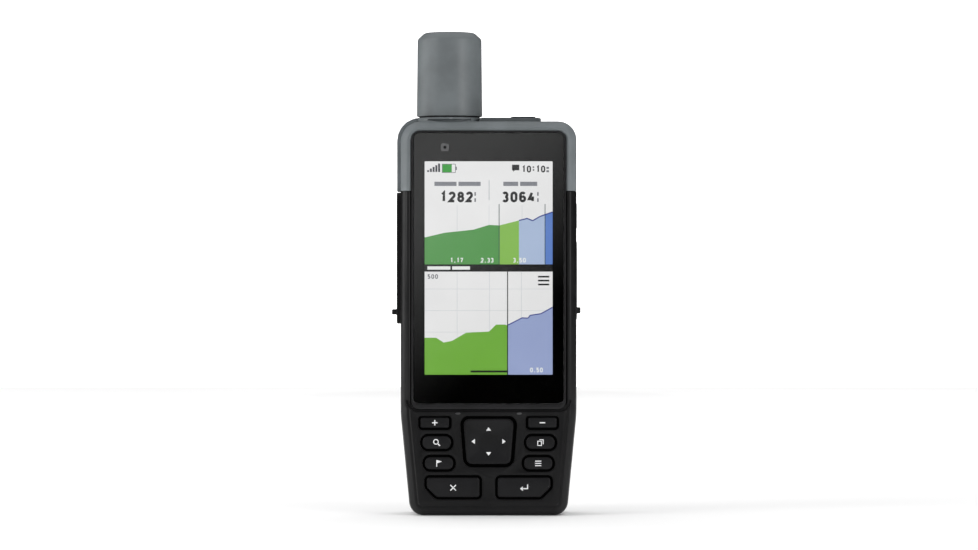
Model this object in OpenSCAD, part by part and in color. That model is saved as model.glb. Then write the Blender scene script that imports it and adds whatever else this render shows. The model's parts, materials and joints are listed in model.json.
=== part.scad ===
// Handheld satellite navigation unit with a helix antenna, a portrait display and a keypad.
// Millimetres. +Z is up, the display faces -Y, +X is to the viewer's right, and the origin
// is the middle of the flat foot that the unit stands on.

/* [Case] */
// Width across the case above the keypad
case_w = 62.9; // [62:0.1:63]
// Height of the case without its antenna
case_h = 141; // [140:0.1:141]
// Distance from the origin plane to the front face
front_depth = 14.5; // [14.4:0.1:14.8]
// Distance from the origin plane to the back face
back_depth = 14.4; // [14.2:0.1:14.8]
// Width across the foot, where the tapered sides would meet the ground
foot_w = 56; // [54:0.1:56]
// Height at which the sides start to taper towards the foot
taper_z = 36; // [36:0.5:40]
// Thickness of the case wall
wall = 2.4; // [2.2:0.1:2.6]
// Thickness of the grey outer skin over the top of the case
skin = 1.2; // [1:0.1:1.3]
// Height where the grey skin ends and the black housing begins
skin_z = 116; // [115.5:0.5:116.5]

/* [Display] */
// Width of the cover glass
glass_w = 53.8; // [53:0.1:54]
// Lower edge of the cover glass
glass_z0 = 40; // [39.6:0.1:40.4]
// Upper edge of the cover glass
glass_z1 = 136.8; // [136:0.1:137]
// Width of the lit picture area
picture_w = 45.7; // [45:0.1:46]
// Height of the lit picture area
picture_h = 76.2; // [75:0.1:77]
// Height of the middle of the picture area
picture_z = 88.5; // [88:0.1:89]

/* [Keys] */
// Width of the six small keys' openings
key_w = 11.4; // [11:0.1:11.6]
// Clearance between a key and the edge of its opening
key_gap = 0.35; // [0.25:0.05:0.45]
// How far a key stands out of the case
key_rise = 0.6; // [0.4:0.1:0.8]
// Travel of a key
key_travel = 0.6; // [0.4:0.1:0.6]
// Height of the four-way pad's middle
pad_z = 26.6; // [26.4:0.1:26.8]

/* [Antenna] */
// Sideways place of the antenna
antenna_x = -14.1; // [-14.5:0.1:-13.5]
// Radius of the antenna cap at its foot
cap_r = 11.8; // [11.4:0.05:11.8]
// Top of the antenna cap
cap_z1 = 173.4; // [170:0.1:176]

/* [Back] */
// Half the width of the battery door
door_half = 22; // [21.5:0.1:22.2]
// Lower edge of the battery door
door_z0 = 14; // [13.5:0.1:14.5]
// Upper edge of the battery door
door_z1 = 97; // [96:0.1:97.5]
// Height of the door latch
latch_z = 22; // [21.8:0.1:22.4]

/* [Hidden] */
$fn = 48;
half_w = case_w / 2;
foot_half = foot_w / 2;
front_y = -front_depth;
back_y = back_depth;
split_y = -1;
far = 90;
slack = 0.05;

// Corner radii of the case: front view, side view, top view, and the least radius of any corner
foot_r = 5.2;
taper_r = 40;
right_r = 6.6;
left_r = 7.2;
front_foot_r = 3;
back_foot_r = 5;
back_top_r = 7;
front_top_r = 2.8;
front_edge_r = 3.4;
back_edge_r = 9;
least_r = 0.3;

// Display stack, from the front: glass, mask, panel, backlight, carrier tray
rim_rise = 0.4;
rim_w = 0.7;
rim_foot = 2;
rim_r = 3;
glass_r = 2.2;
glass_half = glass_w / 2;
ledge_y = front_y + 1.2;
glass_t = 1.0;
mask_t = 0.2;
panel_y1 = ledge_y + 1.6;
light_y1 = panel_y1 + 2.0;
tray_y1 = light_y1 + 1.2;
panel_half = 24.6;
panel_z0 = 47;
panel_z1 = 128.9;
sensor_x = -15.6;
sensor_z = 131.6;
sensor_s = 3.1;
sensor_half = 1.3;
sensor_t = 1.1;
frame_wall = 1.6;
frame_foot = 2;
frame_top = 1;
standoff_r = 2.3;
pilot_r = 0.9;

// Main board and what stands on it
board_half = 27;
board_r = 2;
board_gap = 0.6;
board_boss_gap = 0.4;
board_hole_r = 1.1;
board_z0 = 12;
board_z1 = 134;
board_y0 = tray_y1 + 2.5;
board_y1 = board_y0 + 1.2;
board_screw_x = 22;
board_screw_zs = [50, 128];

// Packages on the board: x, z, half of the side
chips = [[-12, 70, 6], [8, 78, 7], [-4, 96, 4.5], [12, 104, 4], [-14, 40, 3.5], [6, 36, 3]];
chip_t = 1.1;
// Screening cans behind the board: x0, x1, z0, z1
cans = [[-19, -2, 58, 84], [2, 20, 62, 100], [-12, 4, 104, 122]];
can_t = 1.9;
can_r = 0.8;
buzzer_x = 15;
buzzer_z = 22;
buzzer_r = 5;
buzzer_t = 2.6;
board_screw_head_r = 1.9;
board_screw_head_t = 1.1;
// Card holder in the floor of the battery well
card_half = 7.5;
card_z0 = 42;
card_z1 = 57;
card_t = 1.4;
card_wall = 0.3;
card_slot_half = 5.6;
card_stop_z = 44;

// Keypad
panel_t = 1.4;
key_pocket_y = front_y + panel_t;
flange_t = 0.8;
flange_w = 0.5;
key_flange_y = key_pocket_y + slack;
membrane_y0 = key_flange_y + flange_t + key_travel + slack;
membrane_t = 0.9;
dome_t = 0.3;
keyboard_y0 = membrane_y0 + membrane_t + dome_t;
keyboard_t = 1.0;
keypad_half = 25.6;
keypad_z0 = 4.8;
keypad_z1 = 36.9;
sheet_inset = 0.4;
sheet_r = 1.6;
pad_window = 1.4;
dome_r = 2.1;
pad_dome_r = 6.2;
// Place, size and corner radius of the three rows of small keys: x, z, height, radius
key_rows = [[19.2, 33.3, 4.8, 1.3], [18.5, 26.2, 5.8, 2.7], [17.7, 18.8, 5.6, 2.6]];
wide_key_x0 = 2.6;
wide_key_x1 = 22.7;
wide_key_z0 = 6.1;
wide_key_z1 = 14.3;
wide_key_slant = 3.9;
wide_key_cut = 4.2;
wide_key_r = 1.6;
wide_key_low_r = 2.4;
wide_key_side_r = 2;
pad_top_half = 10;
pad_foot_half = 8.6;
pad_half_h = 8.9;
pad_corner = 3;
pad_flange_t = 0.6;
pad_flange_y = membrane_y0 - pad_flange_t;
pad_rise = 0.8;
pad_gap = 0.5;
pad_flange_w = 0.4;
pad_dish_r = 60;
pad_dish_depth = 0.6;
rocker_r = 3;
rocker_t = 0.5;
rocker_gap = 0.3;
rocker_post_r = 1;
rocker_lift = 0.15;

// Antenna
antenna_y = 1.5;
pedestal_z = 142.6;
pedestal_r = 11.3;
pedestal_gap = 0.25;
seal_t = 0.5;
seal_inset = 0.4;
cap_z0 = pedestal_z + seal_t;
cap_wall = 1.3;
cap_taper = 0.4;
cap_bevel = 2.4;
cap_crown = 2;
cap_roof = 2;
spigot_r = 10.2;
core_r = 6.2;
core_z0 = 146;
core_z1 = 168;
strip_w = 1.6;
strip_t = 0.3;
strip_end = 1;
shoulder_x = 33;
shoulder_z = pedestal_z;
shoulder_y1 = back_y - 3;
shoulder_top_r = 8.2;
shoulder_back_r = 8;
antenna_hole_r = 2;
antenna_hole_h = 20;

// Top panel with the lamp
top_x0 = -2.7;
top_x1 = 18;
top_half_d = 6.5;
top_z = 142.5;
platform_rim = 0.8;
platform_drop = 0.15;
lamp_key_x0 = 8;
lamp_key_x1 = 16.9;
lamp_key_half_d = 3;
lamp_key_rise = 0.5;
lamp_key_r = 1.4;
lamp_key_gap = 0.3;
lamp_key_flange = 0.8;
lens_x = 3;
lens_r = 2.8;
lens_t = 1.2;
lens_hole_r = 1.9;
led_half = 1.2;
led_t = 1.2;

// Sides
grip_half_d = 9.5;
grip_x0 = 20;
grip_z0 = 5;
grip_left_z1 = 67;
grip_right_z1 = 68.5;
side_pocket_x = 30;
cover_gap = 0.3;
cover_r = 2;
cover_lift = 0.15;
bead_inset = 3;
bead_r = 0.67;
bead_room = 1.2;
power_z = 107.25;
power_half_h = 4.75;
power_half_d = 2.6;
power_y = 1;
power_rise = 0.35;
power_r = 1.6;
power_gap = 0.25;
power_flange = 0.5;
power_hole_x0 = 20;
port_cover_y0 = -6;
port_cover_y1 = 8;
port_cover_z0 = 68.5;
port_cover_z1 = 115.6;
socket_cover_y0 = -5.5;
socket_cover_y1 = 7;
socket_cover_z0 = 70;
socket_cover_z1 = 98;
socket_cover_out = 0.3;
lip_w = 5;
lip_inset = 0.6;
port_lip_z0 = 71.8;
port_lip_z1 = 73.7;
port_lip_out = 1.75;
socket_lip_z0 = 72.2;
socket_lip_z1 = 74.4;
socket_lip_out = 1.6;
usb_z = 92;
usb_half_y = 1.6;
usb_half_z = 4.5;
usb_wall = 0.35;
usb_r = 1.5;
usb_x0 = -28;
usb_x1 = -21;
usb_tongue_x = -22.5;
usb_room_front = 1.6;
usb_room_back = 0.6;
usb_room_z = 2.1;
usb_y = board_y1 + usb_half_y;
jack_z = 80;
jack_r = 2.6;
jack_bore_r = 1.8;
jack_y = board_y1 + jack_r;
jack_x0 = 21.1;
jack_x1 = 25.6;
jack_bore_x = 21.7;
jack_hole_half = 3.4;
jack_hole_x0 = 22;

// Battery compartment, door, latch and ring
pocket_y = back_y - 2.1;
door_plate_t = 1.5;
door_plate_w = 1.4;
well_half = 19.4;
well_wall = 1.6;
well_y = 1;
well_y0 = -0.2;
well_r = 1.5;
cell_gap = 0.6;
cell_r = 2;
cell_lift = 1.6;
cell_drop = 0.4;
contact_h = 1.3;
contact_xs = [-6, 0, 6];
contact_half = 1;
contact_y0 = 4;
contact_y1 = 8;
well_z0 = 31;
well_z1 = 92;
door_y0 = pocket_y + 0.2;
door_gap = 0.4;
door_r = 4.6;
groove_d = 0.6;
seal_w = 1.1;
seal_in = 1.6;
latch_r = 7;
latch_t = 1.5;
latch_lug_half = 4;
lug_wall = 0.85;
bushing_r = 5;
bushing_wall = 1.4;
bushing_drop = 2;
bushing_gap = 0.3;
shank_r = 3;
ring_wire_r = 1.25;
ring_half = 7;
ring_y = back_y + 3;
ring_z = latch_z + 2.5;
ring_bend_z = 10.5;
fit_gap = 0.06;

// Sealing cord between the halves: depth, and how far its two edges lie inside the outline
gasket_t = 0.6;
gasket_g0 = 1.35;
gasket_g1 = 2.2;

// Screws that join the halves: x, z
case_screws = [[26.2, 62], [26.2, 121], [24, 6.4]];
screw_r = 1.1;
screw_head_r = 2.3;
screw_boss_r = 3;
screw_seat = 4;
screw_head_t = 1.7;
screw_depth = 1.4;
boss_foot = 0.3;
pilot_foot = 1.2;
spine_screw_r = 1.3;
spine_screw_head_r = 2.6;
spine_screw_depth = 6.4;
spine_boss_r = 3.2;
spine_boss_t = 7;
spine_screw_zs = [107, 125];
spine_z0 = 101;
spine_z1 = 131;
spine_foot_half = 7;
spine_foot_t = 1.8;
spine_foot_r = 2;
spine_half = 9.5;
spine_t = 3.6;
spine_r = 3;
spine_seat = 1.9;
spine_screw_head_t = 1.5;
vent_x = 15;
vent_z = 108;
vent_r = 2.3;
vent_hole_r = 0.8;
vent_d = 0.6;

// Colours
grey = [0.44, 0.46, 0.47];
black = [0.11, 0.11, 0.12];
rubber_black = [0.09, 0.09, 0.09];
key_black = [0.18, 0.18, 0.19];
steel = [0.72, 0.73, 0.75];
gold = [0.85, 0.68, 0.32];
board_green = [0.05, 0.3, 0.16];
seal_grey = [0.25, 0.25, 0.27];
pale_grey = [0.75, 0.75, 0.74];

// ---- Outlines -------------------------------------------------------------------------------

function unit(v) = v / norm(v);
function flat(p) = [p[0], p[1]];
function direction(v) = atan2(v[1], v[0]);
function wrapped(a) = a > 180 ? a - 360 : a < -180 ? a + 360 : a;

// Points of one rounded corner at b, between its neighbours a and c
function corner(a, b, c, r, n) =
    let (u = unit(a - b), v = unit(c - b), half = acos(u * v) / 2,
         centre = b + unit(u + v) * r / sin(half),
         start = direction(b + u * r / tan(half) - centre),
         turn = wrapped(direction(b + v * r / tan(half) - centre) - start))
    [for (i = [0:n]) centre + r * [cos(start + turn * i / n), sin(start + turn * i / n)]];

// A closed outline from corners given as [x, y, radius]
function rounded(corners, n = 5) =
    let (count = len(corners))
    [for (i = [0:count - 1])
        each corner(flat(corners[(i + count - 1) % count]), flat(corners[i]),
                    flat(corners[(i + 1) % count]), max(corners[i][2], least_r), n)];

function rounded_box(x0, x1, y0, y1, r) =
    rounded([[x0, y0, r], [x1, y0, r], [x1, y1, r], [x0, y1, r]]);

// Front view of the case, drawn g inside its surface
function front_outline(g) = rounded([
    [foot_half - g, g, foot_r - g], [half_w - g, taper_z, taper_r],
    [half_w - g, case_h - g, right_r - g], [g - half_w, case_h - g, left_r - g],
    [g - half_w, taper_z, taper_r], [g - foot_half, g, foot_r - g]]);

// Side view of the case, drawn g inside its surface
function side_outline(g) = rounded([
    [front_y + g, g, front_foot_r - g], [back_y - g, g, back_foot_r - g],
    [back_y - g, case_h - g, back_top_r - g], [front_y + g, case_h - g, front_top_r - g]]);

// Top view of the case, drawn g inside its surface
function plan_outline(g) = rounded([
    [half_w - g, front_y + g, front_edge_r - g], [half_w - g, back_y - g, back_edge_r - g],
    [g - half_w, back_y - g, back_edge_r - g], [g - half_w, front_y + g, front_edge_r - g]], 6);

// ---- Extrusions along the three axes --------------------------------------------------------

// An X-Z outline made solid from y0 to y1
module plate(y0, y1) translate([0, y1, 0]) rotate([90, 0, 0]) linear_extrude(y1 - y0) children();

// A Y-Z outline made solid from x0 to x1
module slab(x0, x1) translate([x0, 0, 0]) rotate([90, 0, 90]) linear_extrude(x1 - x0) children();

// An X-Y outline made solid from z0 to z1
module column(z0, z1) translate([0, 0, z0]) linear_extrude(z1 - z0) children();

// A box from its lowest to its highest corner
module block(lo, hi) translate(lo) cube(hi - lo);

// A round bar along Y
module bar_y(x, z, r, y0, y1) translate([x, y1, z]) rotate([90, 0, 0]) cylinder(h = y1 - y0, r = r);

// A round bar along X
module bar_x(y, z, r, x0, x1) translate([x0, y, z]) rotate([0, 90, 0]) cylinder(h = x1 - x0, r = r);

// A box with rounded edges along Y
module rounded_plate(x0, x1, z0, z1, r, y0, y1)
    plate(y0, y1) polygon(rounded_box(x0, x1, z0, z1, r));

// Mirrors what is drawn for the right side onto the left
module on_side(side) mirror([side < 0 ? 1 : 0, 0, 0]) children();

// ---- Case body ------------------------------------------------------------------------------

module case_solid(g)
    intersection() {
        plate(front_y + g, back_y - g) polygon(front_outline(g));
        slab(g - half_w, half_w - g) polygon(side_outline(g));
        column(g, case_h - g) polygon(plan_outline(g));
    }

module below_skin() block([-far, -far, -far], [far, far, skin_z]);
module above_skin() block([-far, -far, skin_z], [far, far, 3 * far]);
module front_half() block([-far, -far, -far], [far, split_y, 3 * far]);
module rear_half() block([-far, split_y, -far], [far, far, 3 * far]);

// Hollow black housing: full size below the grey skin, one skin smaller above it
module housing_blank()
    difference() {
        union() {
            intersection() {
                case_solid(0);
                below_skin();
            }
            case_solid(skin);
        }
        case_solid(wall);
    }

module skin_blank()
    intersection() {
        difference() {
            case_solid(0);
            case_solid(skin);
        }
        above_skin();
    }

// The space that the side grips fill
module grip_zone(side, z1)
    intersection() {
        difference() {
            case_solid(0);
            case_solid(skin);
        }
        on_side(side) block([grip_x0, -grip_half_d, grip_z0], [far, grip_half_d, z1]);
    }

// What the side covers, side sockets and power key need cut out of the case
module side_cuts() {
    block([-far, port_cover_y0 - cover_gap, port_cover_z0 - cover_gap],
          [-side_pocket_x, port_cover_y1 + bead_room, port_cover_z1 + cover_gap]);
    block([side_pocket_x, socket_cover_y0 - cover_gap, socket_cover_z0 - cover_gap],
          [far, socket_cover_y1 + bead_room, socket_cover_z1 + cover_gap]);
    block([-side_pocket_x - 1, usb_y - usb_half_y - usb_room_front,
           usb_z - usb_half_z - usb_room_z],
          [usb_x1 + 1, usb_y + usb_half_y + usb_room_back, usb_z + usb_half_z + usb_room_z]);
    block([jack_hole_x0, jack_y - jack_hole_half, jack_z - jack_hole_half],
          [side_pocket_x + 1, jack_y + jack_hole_half, jack_z + jack_hole_half]);
    slab(power_hole_x0, far) polygon(power_outline(0));
}

function power_outline(g) =
    rounded_box(power_y - power_half_d - g, power_y + power_half_d + g,
                power_z - power_half_h - g, power_z + power_half_h + g, power_r);

// Opening that a display recess of half-width h leaves between z0 and z1
module window(h, z0, z1, r, y0, y1) rounded_plate(-h, h, z0, z1, r, y0, y1);

module display_recess() {
    window(glass_half + rim_w, glass_z0 - rim_foot, glass_z1 + rim_w, rim_r, front_y - 1, ledge_y);
    window(panel_half + 0.4, panel_z0 - 0.6, panel_z1 + 0.6, 1, front_y, front_y + wall + 1);
    block([sensor_x - sensor_s / 2, ledge_y - 1, sensor_z - sensor_s / 2],
          [sensor_x + sensor_s / 2, front_y + wall + 1, sensor_z + sensor_s / 2]);
}

// Six small keys' outlines, the two wide ones and the four-way pad, each grown by g
module small_key(row, side, g)
    polygon(rounded_box(side * key_rows[row][0] - key_w / 2 - g, side * key_rows[row][0] + key_w / 2 + g,
                        key_rows[row][1] - key_rows[row][2] / 2 - g,
                        key_rows[row][1] + key_rows[row][2] / 2 + g, key_rows[row][3] + g));

module wide_key(side, g)
    on_side(side) polygon(rounded([
        [wide_key_x0 - g, wide_key_z0 - g, wide_key_r + g],
        [wide_key_x1 + g / 2 - wide_key_slant, wide_key_z0 - g, wide_key_low_r + g],
        [wide_key_x1 + g, wide_key_z1 - wide_key_cut, wide_key_side_r + g],
        [wide_key_x1 + g, wide_key_z1 + g, wide_key_r + g],
        [wide_key_x0 - g, wide_key_z1 + g, wide_key_r + g]]));

module pad_shape(g)
    polygon(rounded([
        [-pad_foot_half - g, pad_z - pad_half_h - g, pad_corner + g],
        [pad_foot_half + g, pad_z - pad_half_h - g, pad_corner + g],
        [pad_top_half + g, pad_z + pad_half_h + g, pad_corner + g],
        [-pad_top_half - g, pad_z + pad_half_h + g, pad_corner + g]]));

module key_shapes(g) {
    for (side = [-1, 1]) {
        for (row = [0:2]) small_key(row, side, g);
        wide_key(side, g);
    }
    pad_shape(g);
}

module case_screw_places()
    for (side = [-1, 1], place = case_screws) translate([side * place[0], 0, place[1]]) children();

// ---- Housings and skins ---------------------------------------------------------------------

module front_housing()
    color(black) difference() {
        union() {
            intersection() {
                housing_blank();
                front_half();
            }
            intersection() {
                case_screw_places() bar_y(0, 0, screw_boss_r, tray_y1 + boss_foot, split_y);
                case_solid(skin);
            }
        }
        display_recess();
        plate(front_y - 1, key_pocket_y + 1) key_shapes(0);
        rounded_plate(-keypad_half, keypad_half, keypad_z0, keypad_z1, 2,
                      key_pocket_y, front_y + wall + 0.1);
        side_cuts();
        grip_zone(-1, grip_left_z1);
        grip_zone(1, grip_right_z1);
        case_screw_places() bar_y(0, 0, screw_r, tray_y1 + pilot_foot, split_y + 1);
        top_pocket();
    }

module rear_housing()
    color(black) difference() {
        union() {
            intersection() {
                housing_blank();
                rear_half();
            }
            intersection() {
                union() {
                    block([-well_half - well_wall, well_y0, well_z0 - well_wall],
                          [well_half + well_wall, pocket_y, well_z1 + well_wall]);
                    block([-door_half - door_plate_w, pocket_y - door_plate_t, door_z0 - door_plate_w],
                          [door_half + door_plate_w, pocket_y, door_z1 + door_plate_w]);
                    case_screw_places() bar_y(0, 0, screw_boss_r, split_y, back_y - wall + 0.5);
                    bar_y(0, latch_z, bushing_r + bushing_wall, well_y, pocket_y);
                    for (z = spine_screw_zs)
                        bar_y(0, z, spine_boss_r, back_y - spine_boss_t, back_y - wall + 0.2);
                }
                case_solid(skin);
            }
        }
        rounded_plate(-door_half - door_gap, door_half + door_gap, door_z0 - door_gap, door_z1 + door_gap,
                      door_r + door_gap, pocket_y, back_y + 1);
        rounded_plate(-well_half, well_half, well_z0, well_z1, well_r, well_y, back_y);
        bar_y(0, latch_z, bushing_r, well_y - 1, pocket_y + 1);
        case_screw_places() bar_y(0, 0, screw_r, split_y - 1, back_y);
        case_screw_places() bar_y(0, 0, screw_head_r, back_y - screw_seat, back_y + 1);
        for (z = spine_screw_zs) bar_y(0, z, spine_screw_r, back_y - spine_boss_t - 1, back_y + 1);
        side_cuts();
        grip_zone(-1, grip_left_z1);
        grip_zone(1, grip_right_z1);
        gasket_ring();
        top_pocket();
        antenna_hole();
        vent_hole();
    }

module upper_front_shell()
    color(grey) difference() {
        intersection() {
            union() {
                skin_blank();
                platform();
            }
            front_half();
        }
        window(glass_half + rim_w, glass_z0 - rim_foot, glass_z1 + rim_w, rim_r, front_y - 1, ledge_y);
        top_pocket();
        column(case_h - skin - 0.1, case_h + 9) translate([antenna_x, antenna_y])
            circle(pedestal_r + pedestal_gap);
    }

module upper_rear_shell()
    color(grey) difference() {
        union() {
            intersection() {
                union() {
                    skin_blank();
                    platform();
                }
                rear_half();
            }
            shoulder();
            column(case_h - skin, pedestal_z) translate([antenna_x, antenna_y]) circle(pedestal_r);
            column(pedestal_z - 1, core_z0) translate([antenna_x, antenna_y]) circle(spigot_r);
        }
        top_pocket();
        antenna_hole();
        case_screw_places() bar_y(0, 0, screw_head_r, split_y, back_y + 1);
        for (z = spine_screw_zs) bar_y(0, z, spine_screw_r, split_y, back_y + 1);
    }

// The left shoulder stands out of the case beside and under the antenna
module shoulder()
    difference() {
        intersection() {
            plate(split_y, shoulder_y1) polygon(rounded([
                [-shoulder_x, skin_z, least_r], [-shoulder_x, shoulder_z, shoulder_top_r],
                [top_x0 - 1, shoulder_z, least_r], [top_x0 - 1, skin_z, least_r]]));
            column(skin_z, shoulder_z) polygon(rounded([
                [-shoulder_x, split_y, least_r], [top_x0, split_y, least_r],
                [top_x0, shoulder_y1, least_r], [-shoulder_x, shoulder_y1, shoulder_back_r]]));
        }
        case_solid(skin);
    }

// Raised rim of the shell round the top panel
module platform()
    column(case_h - skin, top_z - platform_drop) polygon(rounded_box(
        top_x0 - platform_rim, top_x1 + platform_rim,
        -top_half_d - platform_rim, top_half_d + platform_rim, 1));

module top_pocket() block([top_x0, -top_half_d, case_h - wall - 1], [top_x1, top_half_d, case_h + 9]);

module antenna_hole()
    translate([antenna_x, antenna_y, case_h - wall - 2]) cylinder(h = antenna_hole_h, r = antenna_hole_r);

module vent_hole() {
    bar_y(vent_x, vent_z, vent_r, back_y - vent_d, back_y + 1);
    bar_y(vent_x, vent_z, vent_hole_r, back_y - wall - 1, back_y);
}

module side_grip_left() color(rubber_black) grip_zone(-1, grip_left_z1);

module side_grip_right() color(rubber_black) grip_zone(1, grip_right_z1);

module gasket_ring()
    plate(split_y, split_y + gasket_t) difference() {
        polygon(front_outline(gasket_g0));
        polygon(front_outline(gasket_g1));
    }

// The sealing cord lies in the rear housing's groove, interrupted where the side openings are
module housing_gasket()
    color(seal_grey) difference() {
        gasket_ring();
        side_cuts();
        top_pocket();
        case_screw_places() bar_y(0, 0, screw_boss_r + 0.1, split_y - 1, split_y + 2);
    }

// ---- Display --------------------------------------------------------------------------------

module display_bezel()
    color(black) difference() {
        window(glass_half + rim_w - slack, glass_z0 - rim_foot + slack, glass_z1 + rim_w - slack, rim_r,
               front_y - rim_rise, ledge_y);
        window(glass_half, glass_z0, glass_z1, glass_r, front_y - 1, ledge_y + 1);
    }

module display_glass()
    color([0.05, 0.05, 0.06]) window(glass_half - slack, glass_z0 + slack, glass_z1 - slack, glass_r,
                                     ledge_y - mask_t - glass_t, ledge_y - mask_t);

module display_mask()
    color(black) difference() {
        window(glass_half - slack, glass_z0 + slack, glass_z1 - slack, glass_r, ledge_y - mask_t, ledge_y);
        window(picture_w / 2, picture_z - picture_h / 2, picture_z + picture_h / 2, least_r,
               ledge_y - 1, ledge_y + 1);
        block([sensor_x - sensor_half, ledge_y - 1, sensor_z - sensor_half],
              [sensor_x + sensor_half, ledge_y + 1, sensor_z + sensor_half]);
    }

module lcd_panel()
    color([0.8, 0.82, 0.84]) block([-panel_half, ledge_y, panel_z0], [panel_half, panel_y1, panel_z1]);

module backlight_unit()
    color("white") block([-panel_half, panel_y1, panel_z0], [panel_half, light_y1, panel_z1]);

module display_frame()
    color(steel) difference() {
        union() {
            block([-panel_half - frame_wall, front_y + wall, panel_z0 - frame_foot],
                  [panel_half + frame_wall, tray_y1, panel_z1 + frame_top]);
            for (side = [-1, 1], z = board_screw_zs)
                bar_y(side * board_screw_x, z, standoff_r, tray_y1 - 0.5, board_y0);
        }
        block([-panel_half, front_y, panel_z0], [panel_half, light_y1, panel_z1]);
        for (side = [-1, 1], z = board_screw_zs)
            bar_y(side * board_screw_x, z, pilot_r, tray_y1 - 0.6, board_y0 + 1);
    }

module light_sensor()
    color([0.3, 0.3, 0.32])
        block([sensor_x - sensor_half, ledge_y - mask_t, sensor_z - sensor_half],
              [sensor_x + sensor_half, ledge_y - mask_t + sensor_t, sensor_z + sensor_half]);

// ---- Electronics ----------------------------------------------------------------------------

module main_board()
    color(board_green) difference() {
        intersection() {
            rounded_plate(-board_half, board_half, board_z0, board_z1, board_r, board_y0, board_y1);
            plate(board_y0 - 1, board_y1 + 1) polygon(front_outline(wall + board_gap));
        }
        case_screw_places() bar_y(0, 0, screw_boss_r + board_boss_gap, board_y0 - 1, board_y1 + 1);
        for (side = [-1, 1], z = board_screw_zs)
            bar_y(side * board_screw_x, z, board_hole_r, board_y0 - 1, board_y1 + 1);
    }

module shield_cans()
    color(steel) for (can = cans)
        rounded_plate(can[0], can[1], can[2], can[3], can_r, board_y1, board_y1 + can_t);

// Packages on the display side of the board
module board_chips()
    color(black) for (chip = chips)
        translate([chip[0], board_y0 - chip_t / 2, chip[1]])
            cube([2 * chip[2], chip_t, 2 * chip[2]], center = true);

module board_screws()
    color(steel) for (side = [-1, 1], z = board_screw_zs) {
        bar_y(side * board_screw_x, z, pilot_r, tray_y1 + 0.2, board_y1 + 0.2);
        bar_y(side * board_screw_x, z, board_screw_head_r, board_y1, board_y1 + board_screw_head_t);
    }

module buzzer() color(black) bar_y(buzzer_x, buzzer_z, buzzer_r, board_y1, board_y1 + buzzer_t);

module card_slot()
    color(steel) difference() {
        block([-card_half, well_y, card_z0], [card_half, well_y + card_t, card_z1]);
        block([-card_slot_half, well_y + card_wall, card_stop_z],
              [card_slot_half, well_y + card_t - card_wall, card_z1 + 1]);
    }

// ---- Keypad ---------------------------------------------------------------------------------

// A sheet that fills the keypad's pocket, from y on
module keypad_sheet(y, thick)
    rounded_plate(sheet_inset - keypad_half, keypad_half - sheet_inset,
                  keypad_z0 + sheet_inset, keypad_z1 - sheet_inset, sheet_r, y, y + thick);

module keypad_membrane()
    color([0.2, 0.2, 0.21]) difference() {
        keypad_sheet(membrane_y0, membrane_t);
        plate(membrane_y0 - 1, keyboard_y0) pad_shape(pad_window);
    }

module keypad_board()
    color(board_green) keypad_sheet(keyboard_y0, keyboard_t);

module dome(x, z) bar_y(x, z, dome_r, keyboard_y0 - dome_t, keyboard_y0);

module dome_switches()
    color(steel) {
        for (side = [-1, 1], row = key_rows) dome(side * row[0], row[1]);
        for (side = [-1, 1]) dome(side * (wide_key_x0 + wide_key_x1) / 2, (wide_key_z0 + wide_key_z1) / 2);
        for (turn = [0:90:270]) dome(pad_dome_r * cos(turn), pad_z + pad_dome_r * sin(turn));
    }

// A key: its cap through the opening and the flange that holds it behind the panel
module key_body() {
    plate(front_y - key_rise, key_flange_y + 0.1) children(0);
    plate(key_flange_y, key_flange_y + flange_t) children(1);
}

module small_key_body(row, side)
    color(key_black) key_body() {
        small_key(row, side, -key_gap);
        small_key(row, side, flange_w);
    }

module wide_key_body(side)
    color(key_black) key_body() {
        wide_key(side, -key_gap);
        wide_key(side, flange_w);
    }

module key_zoom_in() small_key_body(0, -1);
module key_zoom_out() small_key_body(0, 1);
module key_find() small_key_body(1, -1);
module key_page() small_key_body(1, 1);
module key_mark() small_key_body(2, -1);
module key_menu() small_key_body(2, 1);
module key_quit() wide_key_body(-1);
module key_enter() wide_key_body(1);

// The four-way pad has a shallow dish in its face
module dpad_cap()
    color(key_black) difference() {
        union() {
            plate(front_y - pad_rise, pad_flange_y + 0.1) pad_shape(-pad_gap);
            plate(pad_flange_y, membrane_y0) pad_shape(pad_flange_w);
        }
        translate([0, front_y - pad_rise + pad_dish_depth - pad_dish_r, pad_z])
            sphere(r = pad_dish_r, $fn = 96);
    }

// Disc and post on which the pad rocks
module dpad_rocker()
    color(steel) {
        bar_y(0, pad_z, rocker_r, membrane_y0 + rocker_gap, membrane_y0 + rocker_gap + rocker_t);
        bar_y(0, pad_z, rocker_post_r, membrane_y0 + rocker_gap + rocker_t, keyboard_y0 - rocker_lift);
    }

// ---- Antenna --------------------------------------------------------------------------------

module on_antenna() translate([antenna_x, antenna_y, 0]) children();

module antenna_cap()
    color(grey) on_antenna() rotate_extrude($fn = 96) difference() {
        polygon([[0, cap_z0], [cap_r, cap_z0], [cap_r - cap_taper, cap_z1 - cap_bevel - 0.4],
                 [cap_r - cap_taper - cap_bevel, cap_z1 - 0.3],
                 [cap_r - cap_taper - cap_bevel - cap_crown, cap_z1], [0, cap_z1]]);
        polygon([[0, cap_z0 - 1], [cap_r - cap_wall, cap_z0 - 1],
                 [cap_r - cap_wall, cap_z1 - cap_bevel - cap_roof],
                 [cap_r - cap_wall - cap_bevel, cap_z1 - cap_roof], [0, cap_z1 - cap_roof]]);
    }

module antenna_core()
    color([0.85, 0.83, 0.78]) on_antenna() column(core_z0, core_z1) circle(core_r);

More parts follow.
